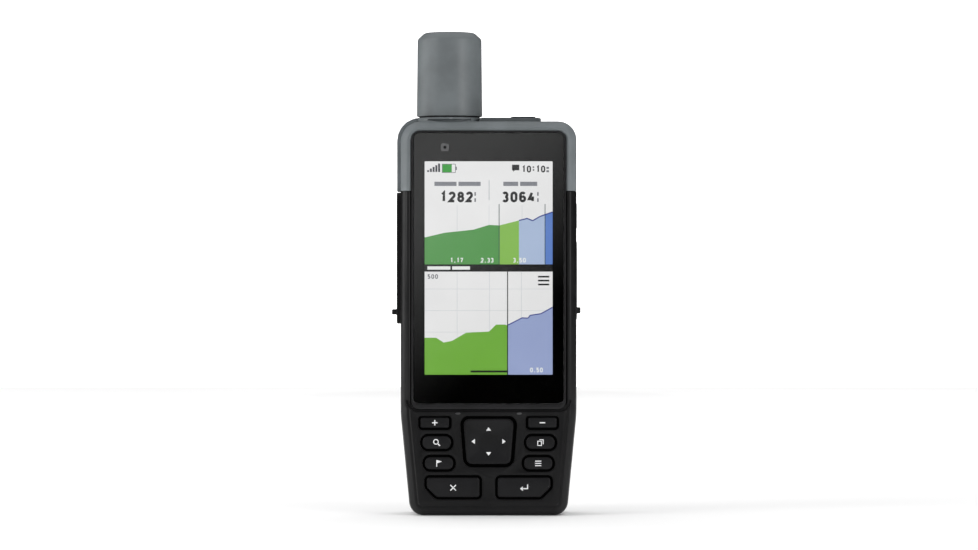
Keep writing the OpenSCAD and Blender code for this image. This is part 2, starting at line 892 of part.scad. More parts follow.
// Four copper strips that wind half a turn round the core
module antenna_helix()
    color([0.8, 0.45, 0.25]) on_antenna() translate([0, 0, core_z0 + strip_end])
        linear_extrude(core_z1 - core_z0 - 2 * strip_end, twist = 180, slices = 16, segments = 4)
            for (turn = [0:90:270]) rotate(turn)
                translate([core_r + 0.1, -strip_w / 2]) square([strip_t, strip_w]);

module antenna_seal()
    color(rubber_black) on_antenna() column(pedestal_z, cap_z0) difference() {
        circle(pedestal_r - seal_inset);
        circle(spigot_r);
    }

// Short coaxial lead from the antenna's foot, round a bend, to its plug on the board
module antenna_cable() {
    lead_r = 0.7;
    bend_r = 2.4;
    bend_z = 131;
    plug_r = 1.6;
    plug_t = 1.5;
    color(rubber_black) {
        on_antenna() column(bend_z, core_z0) circle(lead_r);
        translate([antenna_x, antenna_y - bend_r, bend_z]) rotate([90, 0, 90]) rotate([0, 0, -90])
            rotate_extrude(angle = 90) translate([bend_r, 0]) circle(lead_r, $fn = 24);
        bar_y(antenna_x, bend_z - bend_r, lead_r, board_y1 + plug_t - 0.1, antenna_y - bend_r);
        bar_y(antenna_x, bend_z - bend_r, plug_r, board_y1, board_y1 + plug_t);
    }
}

// ---- Top panel and side controls ------------------------------------------------------------

module lamp_key_shape(g)
    polygon(rounded_box(lamp_key_x0 - g, lamp_key_x1 + g, -lamp_key_half_d - g, lamp_key_half_d + g,
                        lamp_key_r + g));

module top_panel()
    color(black) difference() {
        column(case_h - wall - 0.4, top_z)
            polygon(rounded_box(top_x0 + slack, top_x1 - slack,
                                slack - top_half_d, top_half_d - slack, 0.5));
        column(case_h - wall - 1, top_z + 1) lamp_key_shape(lamp_key_gap);
        translate([lens_x, 0, top_z - lens_t]) cylinder(h = 9, r = lens_r);
        translate([lens_x, 0, case_h - wall - 1]) cylinder(h = 9, r = lens_hole_r);
    }

module lamp_key()
    color(rubber_black) {
        column(case_h - wall - 0.6, top_z + lamp_key_rise) lamp_key_shape(0);
        column(case_h - wall - 1.4, case_h - wall - 0.5) lamp_key_shape(lamp_key_flange);
    }

module lamp_lens()
    color([0.85, 0.9, 0.92]) translate([lens_x, 0, top_z - lens_t]) cylinder(h = lens_t, r = lens_r);

module lamp_led()
    color("gold") block([lens_x - led_half, -led_half, case_h - wall - 0.4],
                        [lens_x + led_half, led_half, case_h - wall - 0.4 + led_t]);

module power_key()
    color(rubber_black) {
        slab(half_w - wall - 0.3, half_w + power_rise) polygon(power_outline(-power_gap));
        slab(half_w - wall - 0.9, half_w - wall - 0.1) polygon(power_outline(power_flange));
    }

// Round bead along a side cover's rear edge, about which the cover swings
module hinge_bead(x, y1, z0, z1)
    column(z0 + bead_inset, z1 - bead_inset) translate([x, y1 + 0.1]) circle(bead_r);

// Rubber flap over the USB port, with its pull lip near the lower end
module port_cover()
    color(rubber_black) {
        hinge_bead(-shoulder_x + bead_r, port_cover_y1, port_cover_z0, port_cover_z1);
        slab(-shoulder_x, -side_pocket_x - cover_lift)
            polygon(rounded_box(port_cover_y0, port_cover_y1, port_cover_z0, port_cover_z1, cover_r));
        block([-shoulder_x - port_lip_out, port_cover_y0 + lip_inset, port_lip_z0],
              [-shoulder_x + 0.5, port_cover_y0 + lip_inset + lip_w, port_lip_z1]);
    }

// Rubber flap over the external antenna socket
module socket_cover()
    color(rubber_black) {
        hinge_bead(half_w + socket_cover_out - bead_r, socket_cover_y1, socket_cover_z0, socket_cover_z1);
        slab(side_pocket_x + cover_lift, half_w + socket_cover_out)
            polygon(rounded_box(socket_cover_y0, socket_cover_y1, socket_cover_z0, socket_cover_z1, cover_r));
        block([half_w, socket_cover_y0 + lip_inset, socket_lip_z0],
              [half_w + socket_lip_out, socket_cover_y0 + lip_inset + lip_w, socket_lip_z1]);
    }

function usb_outline(g) =
    rounded_box(usb_y - usb_half_y + g, usb_y + usb_half_y - g,
                usb_z - usb_half_z + g, usb_z + usb_half_z - g, usb_r - g);

module usb_port()
    color(steel) difference() {
        slab(usb_x0, usb_x1) polygon(usb_outline(0));
        slab(usb_x0 - 1, usb_tongue_x) polygon(usb_outline(usb_wall));
    }

module antenna_socket()
    color(gold) difference() {
        bar_x(jack_y, jack_z, jack_r, jack_x0, jack_x1);
        bar_x(jack_y, jack_z, jack_bore_r, jack_bore_x, jack_x1 + 1);
    }

// ---- Battery, door, latch and ring ----------------------------------------------------------

module battery_pack()
    color([0.2, 0.22, 0.26])
        rounded_plate(cell_gap - well_half, well_half - cell_gap, well_z0 + cell_gap, well_z1 - contact_h,
                      cell_r, well_y + cell_lift, pocket_y - cell_drop);

module battery_contacts()
    color(gold) for (x = contact_xs)
        block([x - contact_half, contact_y0, well_z1 - contact_h], [x + contact_half, contact_y1, well_z1]);

module seal_outline(g)
    polygon(rounded_box(g - door_half, door_half - g, door_z0 + g, door_z1 - g, door_r - g));

module battery_door()
    color(black) difference() {
        rounded_plate(-door_half, door_half, door_z0, door_z1, door_r, door_y0, back_y);
        plate(door_y0 - 1, door_y0 + groove_d) difference() {
            seal_outline(seal_in - seal_w / 2);
            seal_outline(seal_in + seal_w / 2);
        }
        bar_y(0, latch_z, shank_r + fit_gap, door_y0 - 1, back_y + 1);
    }

module door_seal()
    color(seal_grey) plate(pocket_y + slack, door_y0 + groove_d) difference() {
        seal_outline(seal_in - seal_w / 2);
        seal_outline(seal_in + seal_w / 2);
    }

// Quarter-turn screw: a shank through the door and a head with a lug for the ring
module latch_screw()
    color(steel) difference() {
        union() {
            bar_y(0, latch_z, shank_r, well_y + 2, back_y + 0.3);
            bar_y(0, latch_z, latch_r, back_y + 0.1, back_y + 0.1 + latch_t);
            block([-latch_lug_half, back_y + latch_t, ring_z - ring_wire_r - lug_wall],
                  [latch_lug_half, ring_y + 1.8, ring_z + ring_wire_r + lug_wall]);
        }
        bar_x(ring_y, ring_z, ring_wire_r + fit_gap, -5, 5);
    }

module latch_bushing()
    color(gold) difference() {
        bar_y(0, latch_z, bushing_r, well_y, pocket_y - bushing_drop);
        bar_y(0, latch_z, shank_r + bushing_gap, well_y - 1, pocket_y);
    }

// A bent wire: a straight bar through the lug, two legs and a half-round bow
module d_ring()
    color(steel) {
        bar_x(ring_y, ring_z, ring_wire_r, -ring_half, ring_half);
        for (side = [-1, 1]) translate([side * ring_half, ring_y, 0]) {
            translate([0, 0, ring_bend_z]) cylinder(h = ring_z - ring_bend_z, r = ring_wire_r);
            translate([0, 0, ring_z]) sphere(r = ring_wire_r);
        }
        translate([0, ring_y, ring_bend_z]) rotate([90, 0, 0]) rotate([0, 0, 180])
            rotate_extrude(angle = 180, $fn = 64) translate([ring_half, 0]) circle(ring_wire_r, $fn = 32);
    }

// ---- Back -----------------------------------------------------------------------------------

module mount_spine()
    color(black) difference() {
        union() {
            rounded_plate(-spine_foot_half, spine_foot_half, spine_z0, spine_z1, spine_foot_r,
                          back_y, back_y + spine_foot_t);
            rounded_plate(-spine_half, spine_half, spine_z0, spine_z1, spine_r,
                          back_y + spine_foot_t - 0.1, back_y + spine_t);
        }
        for (z = spine_screw_zs) {
            bar_y(0, z, spine_screw_r, back_y - 1, back_y + spine_t + 1);
            bar_y(0, z, spine_screw_head_r + 0.1, back_y + spine_seat, back_y + spine_t + 1);
        }
    }

module spine_screws()
    color(steel) for (z = spine_screw_zs) {
        bar_y(0, z, spine_screw_r, back_y - spine_screw_depth, back_y + spine_seat + 0.1);
        bar_y(0, z, spine_screw_head_r, back_y + spine_seat, back_y + spine_seat + spine_screw_head_t);
    }

module housing_screws()
    color(steel) case_screw_places() {
        bar_y(0, 0, screw_r, tray_y1 + screw_depth, back_y - screw_seat + 0.1);
        bar_y(0, 0, screw_head_r - 0.15, back_y - screw_seat, back_y - screw_seat + screw_head_t);
    }

module vent_membrane()
    color(pale_grey) bar_y(vent_x, vent_z, vent_r - slack, back_y - vent_d, back_y - 0.1);

// ---- Drawing --------------------------------------------------------------------------------

upper_front_shell();
upper_rear_shell();
front_housing();
rear_housing();
side_grip_left();
side_grip_right();
housing_gasket();
display_bezel();
display_glass();
display_mask();
lcd_panel();
backlight_unit();
display_frame();
light_sensor();
main_board();
shield_cans();
board_chips();
board_screws();
buzzer();
card_slot();
keypad_membrane();
keypad_board();
dome_switches();
key_zoom_in();
key_zoom_out();
key_find();
key_page();
key_mark();
key_menu();
key_quit();
key_enter();
dpad_cap();
dpad_rocker();
antenna_cap();
antenna_core();
antenna_helix();
antenna_seal();
antenna_cable();
top_panel();
lamp_key();
lamp_lens();
lamp_led();
power_key();
port_cover();
usb_port();
socket_cover();
antenna_socket();
battery_pack();
battery_contacts();
battery_door();
door_seal();
latch_screw();
latch_bushing();
d_ring();
mount_spine();
spine_screws();
housing_screws();
vent_membrane();
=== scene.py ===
import json
import math

import bmesh
import bpy
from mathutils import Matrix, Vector


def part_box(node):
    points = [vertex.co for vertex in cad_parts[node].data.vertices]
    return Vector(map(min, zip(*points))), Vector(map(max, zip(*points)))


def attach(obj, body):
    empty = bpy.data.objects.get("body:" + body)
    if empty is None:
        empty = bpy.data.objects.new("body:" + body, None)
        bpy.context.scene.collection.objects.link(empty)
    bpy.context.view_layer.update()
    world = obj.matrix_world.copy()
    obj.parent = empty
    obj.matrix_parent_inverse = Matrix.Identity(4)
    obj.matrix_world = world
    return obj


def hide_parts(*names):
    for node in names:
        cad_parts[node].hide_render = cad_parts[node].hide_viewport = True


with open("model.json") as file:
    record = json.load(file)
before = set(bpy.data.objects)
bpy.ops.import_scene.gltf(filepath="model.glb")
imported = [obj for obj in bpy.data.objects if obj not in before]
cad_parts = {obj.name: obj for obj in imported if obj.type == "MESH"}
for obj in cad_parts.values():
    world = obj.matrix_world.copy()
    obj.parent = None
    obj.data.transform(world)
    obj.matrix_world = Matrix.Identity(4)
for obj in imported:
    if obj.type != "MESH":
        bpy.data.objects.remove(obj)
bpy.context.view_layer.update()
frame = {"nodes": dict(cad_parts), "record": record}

# Looks of the handheld satellite navigator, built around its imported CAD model.
# Shapes are given in millimetres; the stage, lights and grain depths are in metres.

MM = 0.001
ARC_STEPS = 10


# ---- Measuring the frame ----

def box(node):
    """Lowest and highest corner of a CAD node, in millimetres."""
    low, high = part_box(node)
    return low / MM, high / MM


FRONT_LO, FRONT_HI = box("front_housing")
GLASS_LO, GLASS_HI = box("display_glass")
BEZEL_LO, BEZEL_HI = box("display_bezel")
MASK_LO, MASK_HI = box("display_mask")
HALF_W = FRONT_HI.x
FRONT_Y = FRONT_LO.y
BACK_Y = box("rear_housing")[1].y
SKIN_T = 1.2
CASE_H = FRONT_HI.z + SKIN_T
SKIN_Z = box("upper_front_shell")[0].z
FOOT_HALF = 28.0
TAPER_Z = 36.0
FOOT_R = 5.2
TAPER_R = 40.0
CORNER_R = 6.6
CORNER_LEFT_R = 7.2
WALL = 2.4


# ---- Outlines ----

def corner_points(a, b, c, radius, steps):
    """Points of a rounded corner at b between its neighbours a and c."""
    a, b, c = Vector(a), Vector(b), Vector(c)
    u, v = (a - b).normalized(), (c - b).normalized()
    half = math.acos(max(-1.0, min(1.0, u.dot(v)))) / 2
    middle = (u + v).normalized()
    centre = b + middle * radius / math.sin(half)
    start = b + u * radius / math.tan(half) - centre
    end = b + v * radius / math.tan(half) - centre
    first = math.atan2(start.y, start.x)
    turn = math.atan2(end.y, end.x) - first
    turn = (turn + math.pi) % (2 * math.pi) - math.pi
    return [(centre.x + radius * math.cos(first + turn * i / steps),
             centre.y + radius * math.sin(first + turn * i / steps)) for i in range(steps + 1)]


def inset(corners, depth):
    """Corners (x, y, radius) of a convex counterclockwise outline, moved inward by depth."""
    lines = []
    for i, (x, y, _) in enumerate(corners):
        nx, ny, _ = corners[(i + 1) % len(corners)]
        along = Vector((nx - x, ny - y)).normalized()
        normal = Vector((-along.y, along.x))
        lines.append((Vector((x, y)) + normal * depth, along))
    moved = []
    for i, (_, _, radius) in enumerate(corners):
        (p, d), (q, e) = lines[i - 1], lines[i]
        cross = d.x * e.y - d.y * e.x
        t = ((q - p).x * e.y - (q - p).y * e.x) / cross
        point = p + d * t
        moved.append((point.x, point.y, max(radius - depth, 0.15)))
    return moved


def outline(corners, depth=0.0, steps=ARC_STEPS):
    """Closed outline of rounded corners, inset by depth."""
    moved = inset(corners, depth)
    count = len(moved)
    points = []
    for i in range(count):
        points += corner_points(moved[i - 1][:2], moved[i][:2], moved[(i + 1) % count][:2],
                                moved[i][2], steps)
    return points


def rectangle(x0, x1, z0, z1, radius):
    return [(x1, z0, radius), (x1, z1, radius), (x0, z1, radius), (x0, z0, radius)]


def case_outline(top, right_radius, left_radius):
    """Corners of the case's front view up to the height top."""
    return [(FOOT_HALF, 0, FOOT_R), (HALF_W, TAPER_Z, TAPER_R), (HALF_W, top, right_radius),
            (-HALF_W, top, left_radius), (-HALF_W, TAPER_Z, TAPER_R), (-FOOT_HALF, 0, FOOT_R)]


CASE = case_outline(CASE_H, CORNER_R, CORNER_LEFT_R)


# ---- Meshes ----

def as_xz(points, y):
    return [(x, y, z) for x, z in points]


def as_xy(points, z):
    return [(x, y, z) for x, y in points]


def as_yz(points, x):
    return [(x, y, z) for y, z in points]


def new_object(name, mesh):
    obj = bpy.data.objects.new(name, mesh)
    bpy.context.scene.collection.objects.link(obj)
    return obj


def mesh_object(name, vertices, faces, weld=True):
    """Object from vertices in millimetres, with all faces turned outward."""
    mesh = bpy.data.meshes.new(name)
    mesh.from_pydata([Vector(v) * MM for v in vertices], [], faces)
    work = bmesh.new()
    work.from_mesh(mesh)
    if weld:
        bmesh.ops.remove_doubles(work, verts=work.verts, dist=1e-7)
    bmesh.ops.recalc_face_normals(work, faces=work.faces)
    work.to_mesh(mesh)
    work.free()
    return new_object(name, mesh)


def loft(name, rings):
    """Closed solid through rings of equal point counts, with its first and last ring capped."""
    count = len(rings[0])
    vertices = [p for ring in rings for p in ring]
    faces = []
    for r in range(len(rings) - 1):
        for i in range(count):
            j = (i + 1) % count
            a, b = r * count, (r + 1) * count
            faces.append((a + i, a + j, b + j, b + i))
    faces.append(tuple(range(count)))
    last = (len(rings) - 1) * count
    faces.append(tuple(last + i for i in reversed(range(count))))
    return mesh_object(name, vertices, faces)


def stack(name, corners, stations, steps=ARC_STEPS):
    """Solid through (inset, y) stations of one outline in the X-Z plane."""
    return loft(name, [as_xz(outline(corners, depth, steps), y) for depth, y in stations])


def prism_xz(name, points, y0, y1):
    return loft(name, [as_xz(points, y0), as_xz(points, y1)])


def block(name, low, high):
    points = [(low[0], low[2]), (high[0], low[2]), (high[0], high[2]), (low[0], high[2])]
    return prism_xz(name, points, low[1], high[1])


def circle(cx, cz, radius, steps=48):
    return [(cx + radius * math.cos(2 * math.pi * i / steps),
             cz + radius * math.sin(2 * math.pi * i / steps)) for i in range(steps)]


def lathe(name, profile, centre, steps=96):
    """Solid turned from (radius, height) points; the first and last rings are capped."""
    return loft(name, [as_xy(circle(*centre, max(radius, 0.001), steps), height)
                       for radius, height in profile])


def apply_modifiers(obj):
    bpy.context.view_layer.update()
    graph = bpy.context.evaluated_depsgraph_get()
    mesh = bpy.data.meshes.new_from_object(obj.evaluated_get(graph), depsgraph=graph)
    obj.modifiers.clear()
    obj.data = mesh


def cut(obj, *tools):
    """Takes each tool's shape out of obj, and removes the tool."""
    for tool in tools:
        step = obj.modifiers.new("boolean", "BOOLEAN")
        step.operation = "DIFFERENCE"
        step.solver = "EXACT"
        step.object = tool
        apply_modifiers(obj)
        bpy.data.objects.remove(tool)
    return obj


def smooth(obj, angle=35, bevel=0.0, segments=2):
    """Smooth shading with sharp edges kept, and an optional small bevel on those edges."""
    for polygon in obj.data.polygons:
        polygon.use_smooth = True
    if bevel:
        step = obj.modifiers.new("edges", "BEVEL")
        step.width = bevel * MM
        step.segments = segments
        step.limit_method = "ANGLE"
        step.angle_limit = math.radians(angle)
        step.use_clamp_overlap = False
        step.harden_normals = False
    obj.data.set_sharp_from_angle(angle=math.radians(angle))
    if bevel:
        step = obj.modifiers.new("normals", "WEIGHTED_NORMAL")
        step.keep_sharp = True
    return obj


def join(name, objects):
    """One object from several, their modifiers applied first."""
    work = bmesh.new()
    for obj in objects:
        if obj.modifiers:
            apply_modifiers(obj)
        work.from_mesh(obj.data)
        bpy.data.objects.remove(obj)
    mesh = bpy.data.meshes.new(name)
    work.to_mesh(mesh)
    work.free()
    return new_object(name, mesh)


def place(obj, material, body, replaces=()):
    """Gives a piece its material, its body and the CAD nodes that it stands for."""
    obj.data.materials.clear()
    obj.data.materials.append(material)
    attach(obj, body)
    if replaces:
        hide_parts(*replaces)


# ---- Materials ----

def srgb(*values):
    """Linear colour from values between 0 and 255."""
    linear = []
    for value in values:
        v = value / 255
        linear.append(v / 12.92 if v <= 0.04045 else ((v + 0.055) / 1.055) ** 2.4)
    return (*linear, 1.0)


GRAIN_DEPTH = 0.00004
BRUSH_DEPTH = 0.00002
WEAR = 0.5


class Surface:
    """Node material with noise-driven colour, roughness and fine bump."""

    def __init__(self, name):
        self.material = bpy.data.materials.new(name)
        self.material.use_nodes = True
        self.nodes = self.material.node_tree.nodes
        self.links = self.material.node_tree.links
        self.shader = next(n for n in self.nodes if n.type == "BSDF_PRINCIPLED")
        self.coordinates = self.node("TexCoord")

    def node(self, kind, **constants):
        """New node with constants on its inputs."""
        node = self.nodes.new("ShaderNode" + kind)
        for socket, value in constants.items():
            node.inputs[socket.replace("_", " ")].default_value = value
        return node

    def noise(self, scale, detail=3.0, stretch=None):
        texture = self.node("TexNoise", Scale=scale, Detail=detail)
        source = self.coordinates.outputs["Object"]
        if stretch:
            mapping = self.node("Mapping", Scale=stretch)
            self.links.new(source, mapping.inputs["Vector"])
            source = mapping.outputs["Vector"]
        self.links.new(source, texture.inputs["Vector"])
        return texture.outputs["Fac"]

    def spread(self, source, low, high):
        """Value between low and high that follows the noise."""
        node = self.node("MapRange", From_Min=0.3, From_Max=0.7, To_Min=low, To_Max=high)
        self.links.new(source, node.inputs["Value"])
        return node.outputs["Result"]

    def colours(self, source, first, second):
        """Colour between two that follows the noise."""
        ramp = self.node("ValToRGB")
        for stop, position, colour in zip(ramp.color_ramp.elements, (0.35, 0.65), (first, second)):
            stop.position = position
            stop.color = colour
        self.links.new(source, ramp.inputs["Fac"])
        return ramp.outputs["Color"]

    def worn_edges(self, colour, edge_colour, amount):
        """Paler colour on convex edges."""
        geometry = self.node("NewGeometry")
        mask = self.node("MapRange", From_Min=0.52, From_Max=0.62, To_Max=amount)
        self.links.new(geometry.outputs["Pointiness"], mask.inputs["Value"])
        mix = self.node("Mix")
        mix.data_type = "RGBA"
        self.links.new(mask.outputs["Result"], mix.inputs["Factor"])
        self.links.new(colour, mix.inputs["A"])
        mix.inputs["B"].default_value = edge_colour
        return mix.outputs["Result"]

    def bump(self, source, strength, distance):
        node = self.node("Bump", Strength=strength, Distance=distance)
        self.links.new(source, node.inputs["Height"])
        self.links.new(node.outputs["Normal"], self.shader.inputs["Normal"])

    def feed(self, socket, source):
        self.links.new(source, self.shader.inputs[socket])

    def set(self, **constants):
        for socket, value in constants.items():
            self.shader.inputs[socket.replace("_", " ")].default_value = value


def moulded(name, low, high, roughness, grain=2600, bump=0.25, wear=None, coat=0.0, sheen=0.5):
    """Moulded plastic or rubber: mottled colour, uneven sheen and a spark-eroded grain."""
    s = Surface(name)
    colour = s.colours(s.noise(90, 4), srgb(*low), srgb(*high))
    if wear:
        colour = s.worn_edges(colour, srgb(*wear), WEAR)
    s.feed("Base Color", colour)
    s.feed("Roughness", s.spread(s.noise(220, 5), roughness - 0.05, roughness + 0.06))
    s.bump(s.noise(grain, 2), bump, GRAIN_DEPTH)
    s.set(Specular_IOR_Level=sheen)
    if coat:
        s.set(Coat_Weight=coat, Coat_Roughness=0.2)
    return s.material


def metal(name, low, high, roughness, stretch=None, scale=700):
    """Bare metal with a fine grain, drawn out by stretch where it's brushed."""
    s = Surface(name)
    grain = s.noise(scale, 4, stretch)
    s.feed("Base Color", s.colours(s.noise(120, 3), srgb(*low), srgb(*high)))
    s.feed("Roughness", s.spread(grain, roughness - 0.08, roughness + 0.1))
    s.bump(grain, 0.15, BRUSH_DEPTH)
    s.set(Metallic=1.0)
    return s.material


def picture_colour(name, *rgb):
    """Lit colour of the display, with a faint unevenness of the backlight."""
    s = Surface(name)
    dim = tuple(max(0, v - 4) for v in rgb)
    s.feed("Emission Color", s.colours(s.noise(60, 2), srgb(*dim), srgb(*rgb)))
    s.set(Base_Color=(0.0, 0.0, 0.0, 1.0), Roughness=0.6, Emission_Strength=1.0)
    return s.material


GREY = moulded("grey_plastic", (101, 107, 109), (113, 119, 122), 0.46, bump=0.2, wear=(150, 155, 158),
               sheen=0.35)
CAP_GREY = moulded("antenna_plastic", (101, 106, 108), (112, 118, 120), 0.42, bump=0.12, sheen=0.35)
BLACK = moulded("black_plastic", (13, 13, 14), (19, 19, 20), 0.34, bump=0.2, wear=(48, 48, 48), sheen=0.2)
RUBBER = moulded("rubber", (16, 16, 17), (23, 23, 24), 0.66, grain=1800, bump=0.35, wear=(48, 48, 48),
                 sheen=0.14)
SEAL = moulded("seal_rubber", (22, 22, 23), (31, 31, 33), 0.6, grain=1500, sheen=0.2)
KEY = moulded("key_plastic", (15, 15, 16), (21, 21, 23), 0.38, grain=2200, bump=0.15, sheen=0.2)
RIM = moulded("rim_plastic", (20, 20, 21), (28, 28, 30), 0.33, grain=2400, bump=0.12, sheen=0.25)
# Near-black skirt is painted shade: it darkens the moats round the keys and the pad.
SKIRT_SHADE = moulded("key_skirt_painted_shade", (2, 2, 2), (5, 5, 5), 0.7, grain=2200, bump=0.1, sheen=0.05)
INK = moulded("printed_ink", (1, 1, 1), (3, 3, 3), 0.6, grain=3000, bump=0.05, sheen=0.0)
LEGEND = moulded("legend_ink", (228, 229, 230), (245, 246, 246), 0.5, grain=3000, bump=0.05)
SMOKED = moulded("smoked_window", (84, 84, 85), (92, 92, 93), 0.3, grain=3000, bump=0.05)
CHIP = moulded("chip_package", (18, 18, 20), (30, 30, 32), 0.5, grain=3000)
BOARD = moulded("solder_mask", (8, 58, 34), (14, 74, 44), 0.3, grain=900, bump=0.3, coat=0.4)
DIFFUSER = moulded("white_diffuser", (225, 226, 228), (240, 240, 240), 0.5)
WRAP = moulded("battery_wrap", (28, 32, 40), (38, 43, 54), 0.38, grain=500, bump=0.3, coat=0.2)
VENT = moulded("vent_membrane", (190, 190, 188), (210, 210, 208), 0.8, grain=3500, bump=0.6)
CERAMIC = moulded("ceramic", (205, 200, 188), (222, 218, 206), 0.55)
LAMP = moulded("lamp_phosphor", (225, 190, 70), (240, 205, 90), 0.4)
RIM_GREY = moulded("rim_grey", (74, 79, 81), (86, 91, 93), 0.5, bump=0.15, sheen=0.3)
# Light grey of the pips above the keys is a painted highlight on small black bumps.
PIP_HIGHLIGHT = moulded("pip_painted_highlight", (62, 62, 63), (76, 76, 77), 0.4, bump=0.1, sheen=0.3)
STEEL = metal("brushed_steel", (168, 170, 174), (196, 198, 202), 0.32, stretch=(1, 1, 12))
MAGNESIUM = metal("cast_magnesium", (140, 142, 146), (160, 162, 166), 0.5, scale=1500)
GOLD = metal("gold_plate", (205, 160, 70), (224, 182, 92), 0.25)
COPPER = metal("copper_strip", (190, 110, 72), (208, 128, 86), 0.3)


def clear(name, tint, roughness):
    """Transparent glass or plastic."""
    s = Surface(name)
    s.feed("Roughness", s.spread(s.noise(150, 3), roughness, roughness + 0.02))
    s.set(Base_Color=tint, Transmission_Weight=1.0, IOR=1.5)
    return s.material


GLASS = clear("cover_glass", (0.96, 0.97, 0.97, 1.0), 0.01)
LENS = clear("clear_lens", (0.95, 0.96, 0.97, 1.0), 0.03)

SLOT_MATERIALS = {
    "grey_shell": GREY, "antenna_grey": CAP_GREY, "black_housing": BLACK, "rubber_black": RUBBER,
    "seal_rubber": SEAL, "bezel_black": RIM, "cover_glass": GLASS, "ink_black": INK,
    "lcd": DIFFUSER, "white_diffuser": DIFFUSER, "light_metal": MAGNESIUM, "key_black": KEY,
    "membrane": SEAL, "board": BOARD, "steel": STEEL, "gold_contact": GOLD, "chip_black": CHIP,
    "ceramic": CERAMIC, "copper": COPPER, "clear_lens": LENS, "led_yellow": LAMP,
    "battery_wrap": WRAP, "vent_white": VENT,
}
NODE_SLOTS = {part["node"]: part["material_slot"] for part in frame["record"]["subparts"]}


# ---- More mesh builders ----

def sweep_ring(name, profile, corners):
    """Closed ring: a closed (inset, y) profile carried round an outline in the X-Z plane."""
    return wrap(name, [as_xz(outline(corners, depth), y) for depth, y in profile])


def wrap(name, rings):
    """Closed ring through point rings, the last joined to the first."""
    count = len(rings[0])
    vertices = [p for ring in rings for p in ring]
    faces = []
    for r in range(len(rings)):
        a, b = r * count, (r + 1) % len(rings) * count
        for i in range(count):
            j = (i + 1) % count
            faces.append((a + i, a + j, b + j, b + i))
    return mesh_object(name, vertices, faces)


def frame_ring(name, outer, inner, stations):
    """Ring between two outlines; each station is (share of the way inward, y)."""
    a, b = outline(outer), outline(inner)
    rings = []
    for share, y in stations:
        rings.append([(p[0] + (q[0] - p[0]) * share, y, p[1] + (q[1] - p[1]) * share)
                      for p, q in zip(a, b)])
    return wrap(name, rings)


def keep_side(obj, z, above):
    """Cuts obj at height z and keeps the part above or below, with the cut closed."""
    work = bmesh.new()
    work.from_mesh(obj.data)
    geometry = list(work.verts) + list(work.edges) + list(work.faces)
    result = bmesh.ops.bisect_plane(work, geom=geometry, plane_co=(0, 0, z * MM),
                                    plane_no=(0, 0, -1 if above else 1), clear_outer=True)
    rim = [e for e in result["geom_cut"] if isinstance(e, bmesh.types.BMEdge)]
    bmesh.ops.holes_fill(work, edges=rim, sides=0)
    bmesh.ops.recalc_face_normals(work, faces=work.faces)
    work.to_mesh(obj.data)
    work.free()
    return obj


def stroke(points, width):
    """Outline of a line of the given width through points, with mitred bends."""
    left, right = [], []
    for i, point in enumerate(points):
        p = Vector(point)
        before = (p - Vector(points[i - 1])).normalized() if i else None
        after = (Vector(points[i + 1]) - p).normalized() if i < len(points) - 1 else None
        first, second = before or after, after or before
        n1, n2 = Vector((-first.y, first.x)), Vector((-second.y, second.x))
        mid = (n1 + n2).normalized()
        reach = width / 2 / max(mid.dot(n1), 0.4)
        left.append(tuple(p + mid * reach))
        right.append(tuple(p - mid * reach))
    return left + right[::-1]


def arc(cx, cz, radius, start, end, steps=20):
    return [(cx + radius * math.cos(math.radians(start + (end - start) * i / steps)),
             cz + radius * math.sin(math.radians(start + (end - start) * i / steps)))
            for i in range(steps + 1)]


def bar(x0, x1, z0, z1):
    return [(x0, z0), (x1, z0), (x1, z1), (x0, z1)]


def prisms(name, shapes, y0, y1):
    """One mesh of X-Z outlines made solid from y0 to y1."""
    vertices, faces = [], []
    for shape in shapes:
        start, count = len(vertices), len(shape)
        vertices += as_xz(shape, y0) + as_xz(shape, y1)
        faces.append(tuple(start + i for i in range(count)))
        faces.append(tuple(start + count + i for i in reversed(range(count))))
        for i in range(count):
            j = (i + 1) % count
            faces.append((start + j, start + i, start + count + i, start + count + j))
    return mesh_object(name, vertices, faces, weld=False)


def moved(shapes, dx, dz, scale=1.0):
    return [[(dx + x * scale, dz + z * scale) for x, z in shape] for shape in shapes]


def refine(node, bevel, segments=2):
    """Clean copy of a CAD node's surface, with softened edges unless bevel is 0."""
    work = bmesh.new()
    work.from_mesh(frame["nodes"][node].data)
    bmesh.ops.remove_doubles(work, verts=work.verts, dist=2e-6)
    bmesh.ops.dissolve_limit(work, angle_limit=math.radians(0.5), verts=work.verts,
                             edges=work.edges)
    bmesh.ops.recalc_face_normals(work, faces=work.faces)
    mesh = bpy.data.meshes.new(node + "_piece")
    work.to_mesh(mesh)
    work.free()
    for layer in ("custom_normal", "sharp_edge", "sharp_face"):
        if layer in mesh.attributes:
            mesh.attributes.remove(mesh.attributes[layer])
    return smooth(new_object(mesh.name, mesh), 30, bevel, segments)


# ---- Front of the case ----

LIP = HALF_W - BEZEL_HI.x
SEAM_Y = -1.02
SEAT_Y = -13.3
CUT_FRONT, CUT_BACK = -16, -11
RIDGE = [(0, SEAM_Y), (0, -10.4), (0.08, -11.2), (0.3, -12.0), (0.7, -12.8), (2.1, -14.3), (2.45, -14.47),
         (2.8, FRONT_Y), (3.3, -14.42), (LIP - 0.2, -14.1), (LIP, -13.8), (LIP, -13.32)]
PANEL_Y = -14.22
PANEL_BACK = -12.1
PANEL_TOP = 42
PANEL_INSET = LIP - 0.45
MOAT = 0.25
PAD_MOAT = 0.35
PORT_LO = box("port_cover")[0]
SOCKET_LO, SOCKET_HI = box("socket_cover")
POWER_LO, POWER_HI = box("power_key")
USB_LO, USB_HI = box("usb_port")
JACK_LO, JACK_HI = box("antenna_socket")
POCKET_X = 30.0
GROOVE_DEPTH = 0.3
GROOVE_W = 1.1
GROOVE_Y = (-6.5, 4.2)
GRIP_GROOVES = range(41, 65, 3)
JACK_HOLE = 3.4
GAP = 0.3
FIT = 0.05
TOP_POCKET_Z = 136
ABOVE = 160


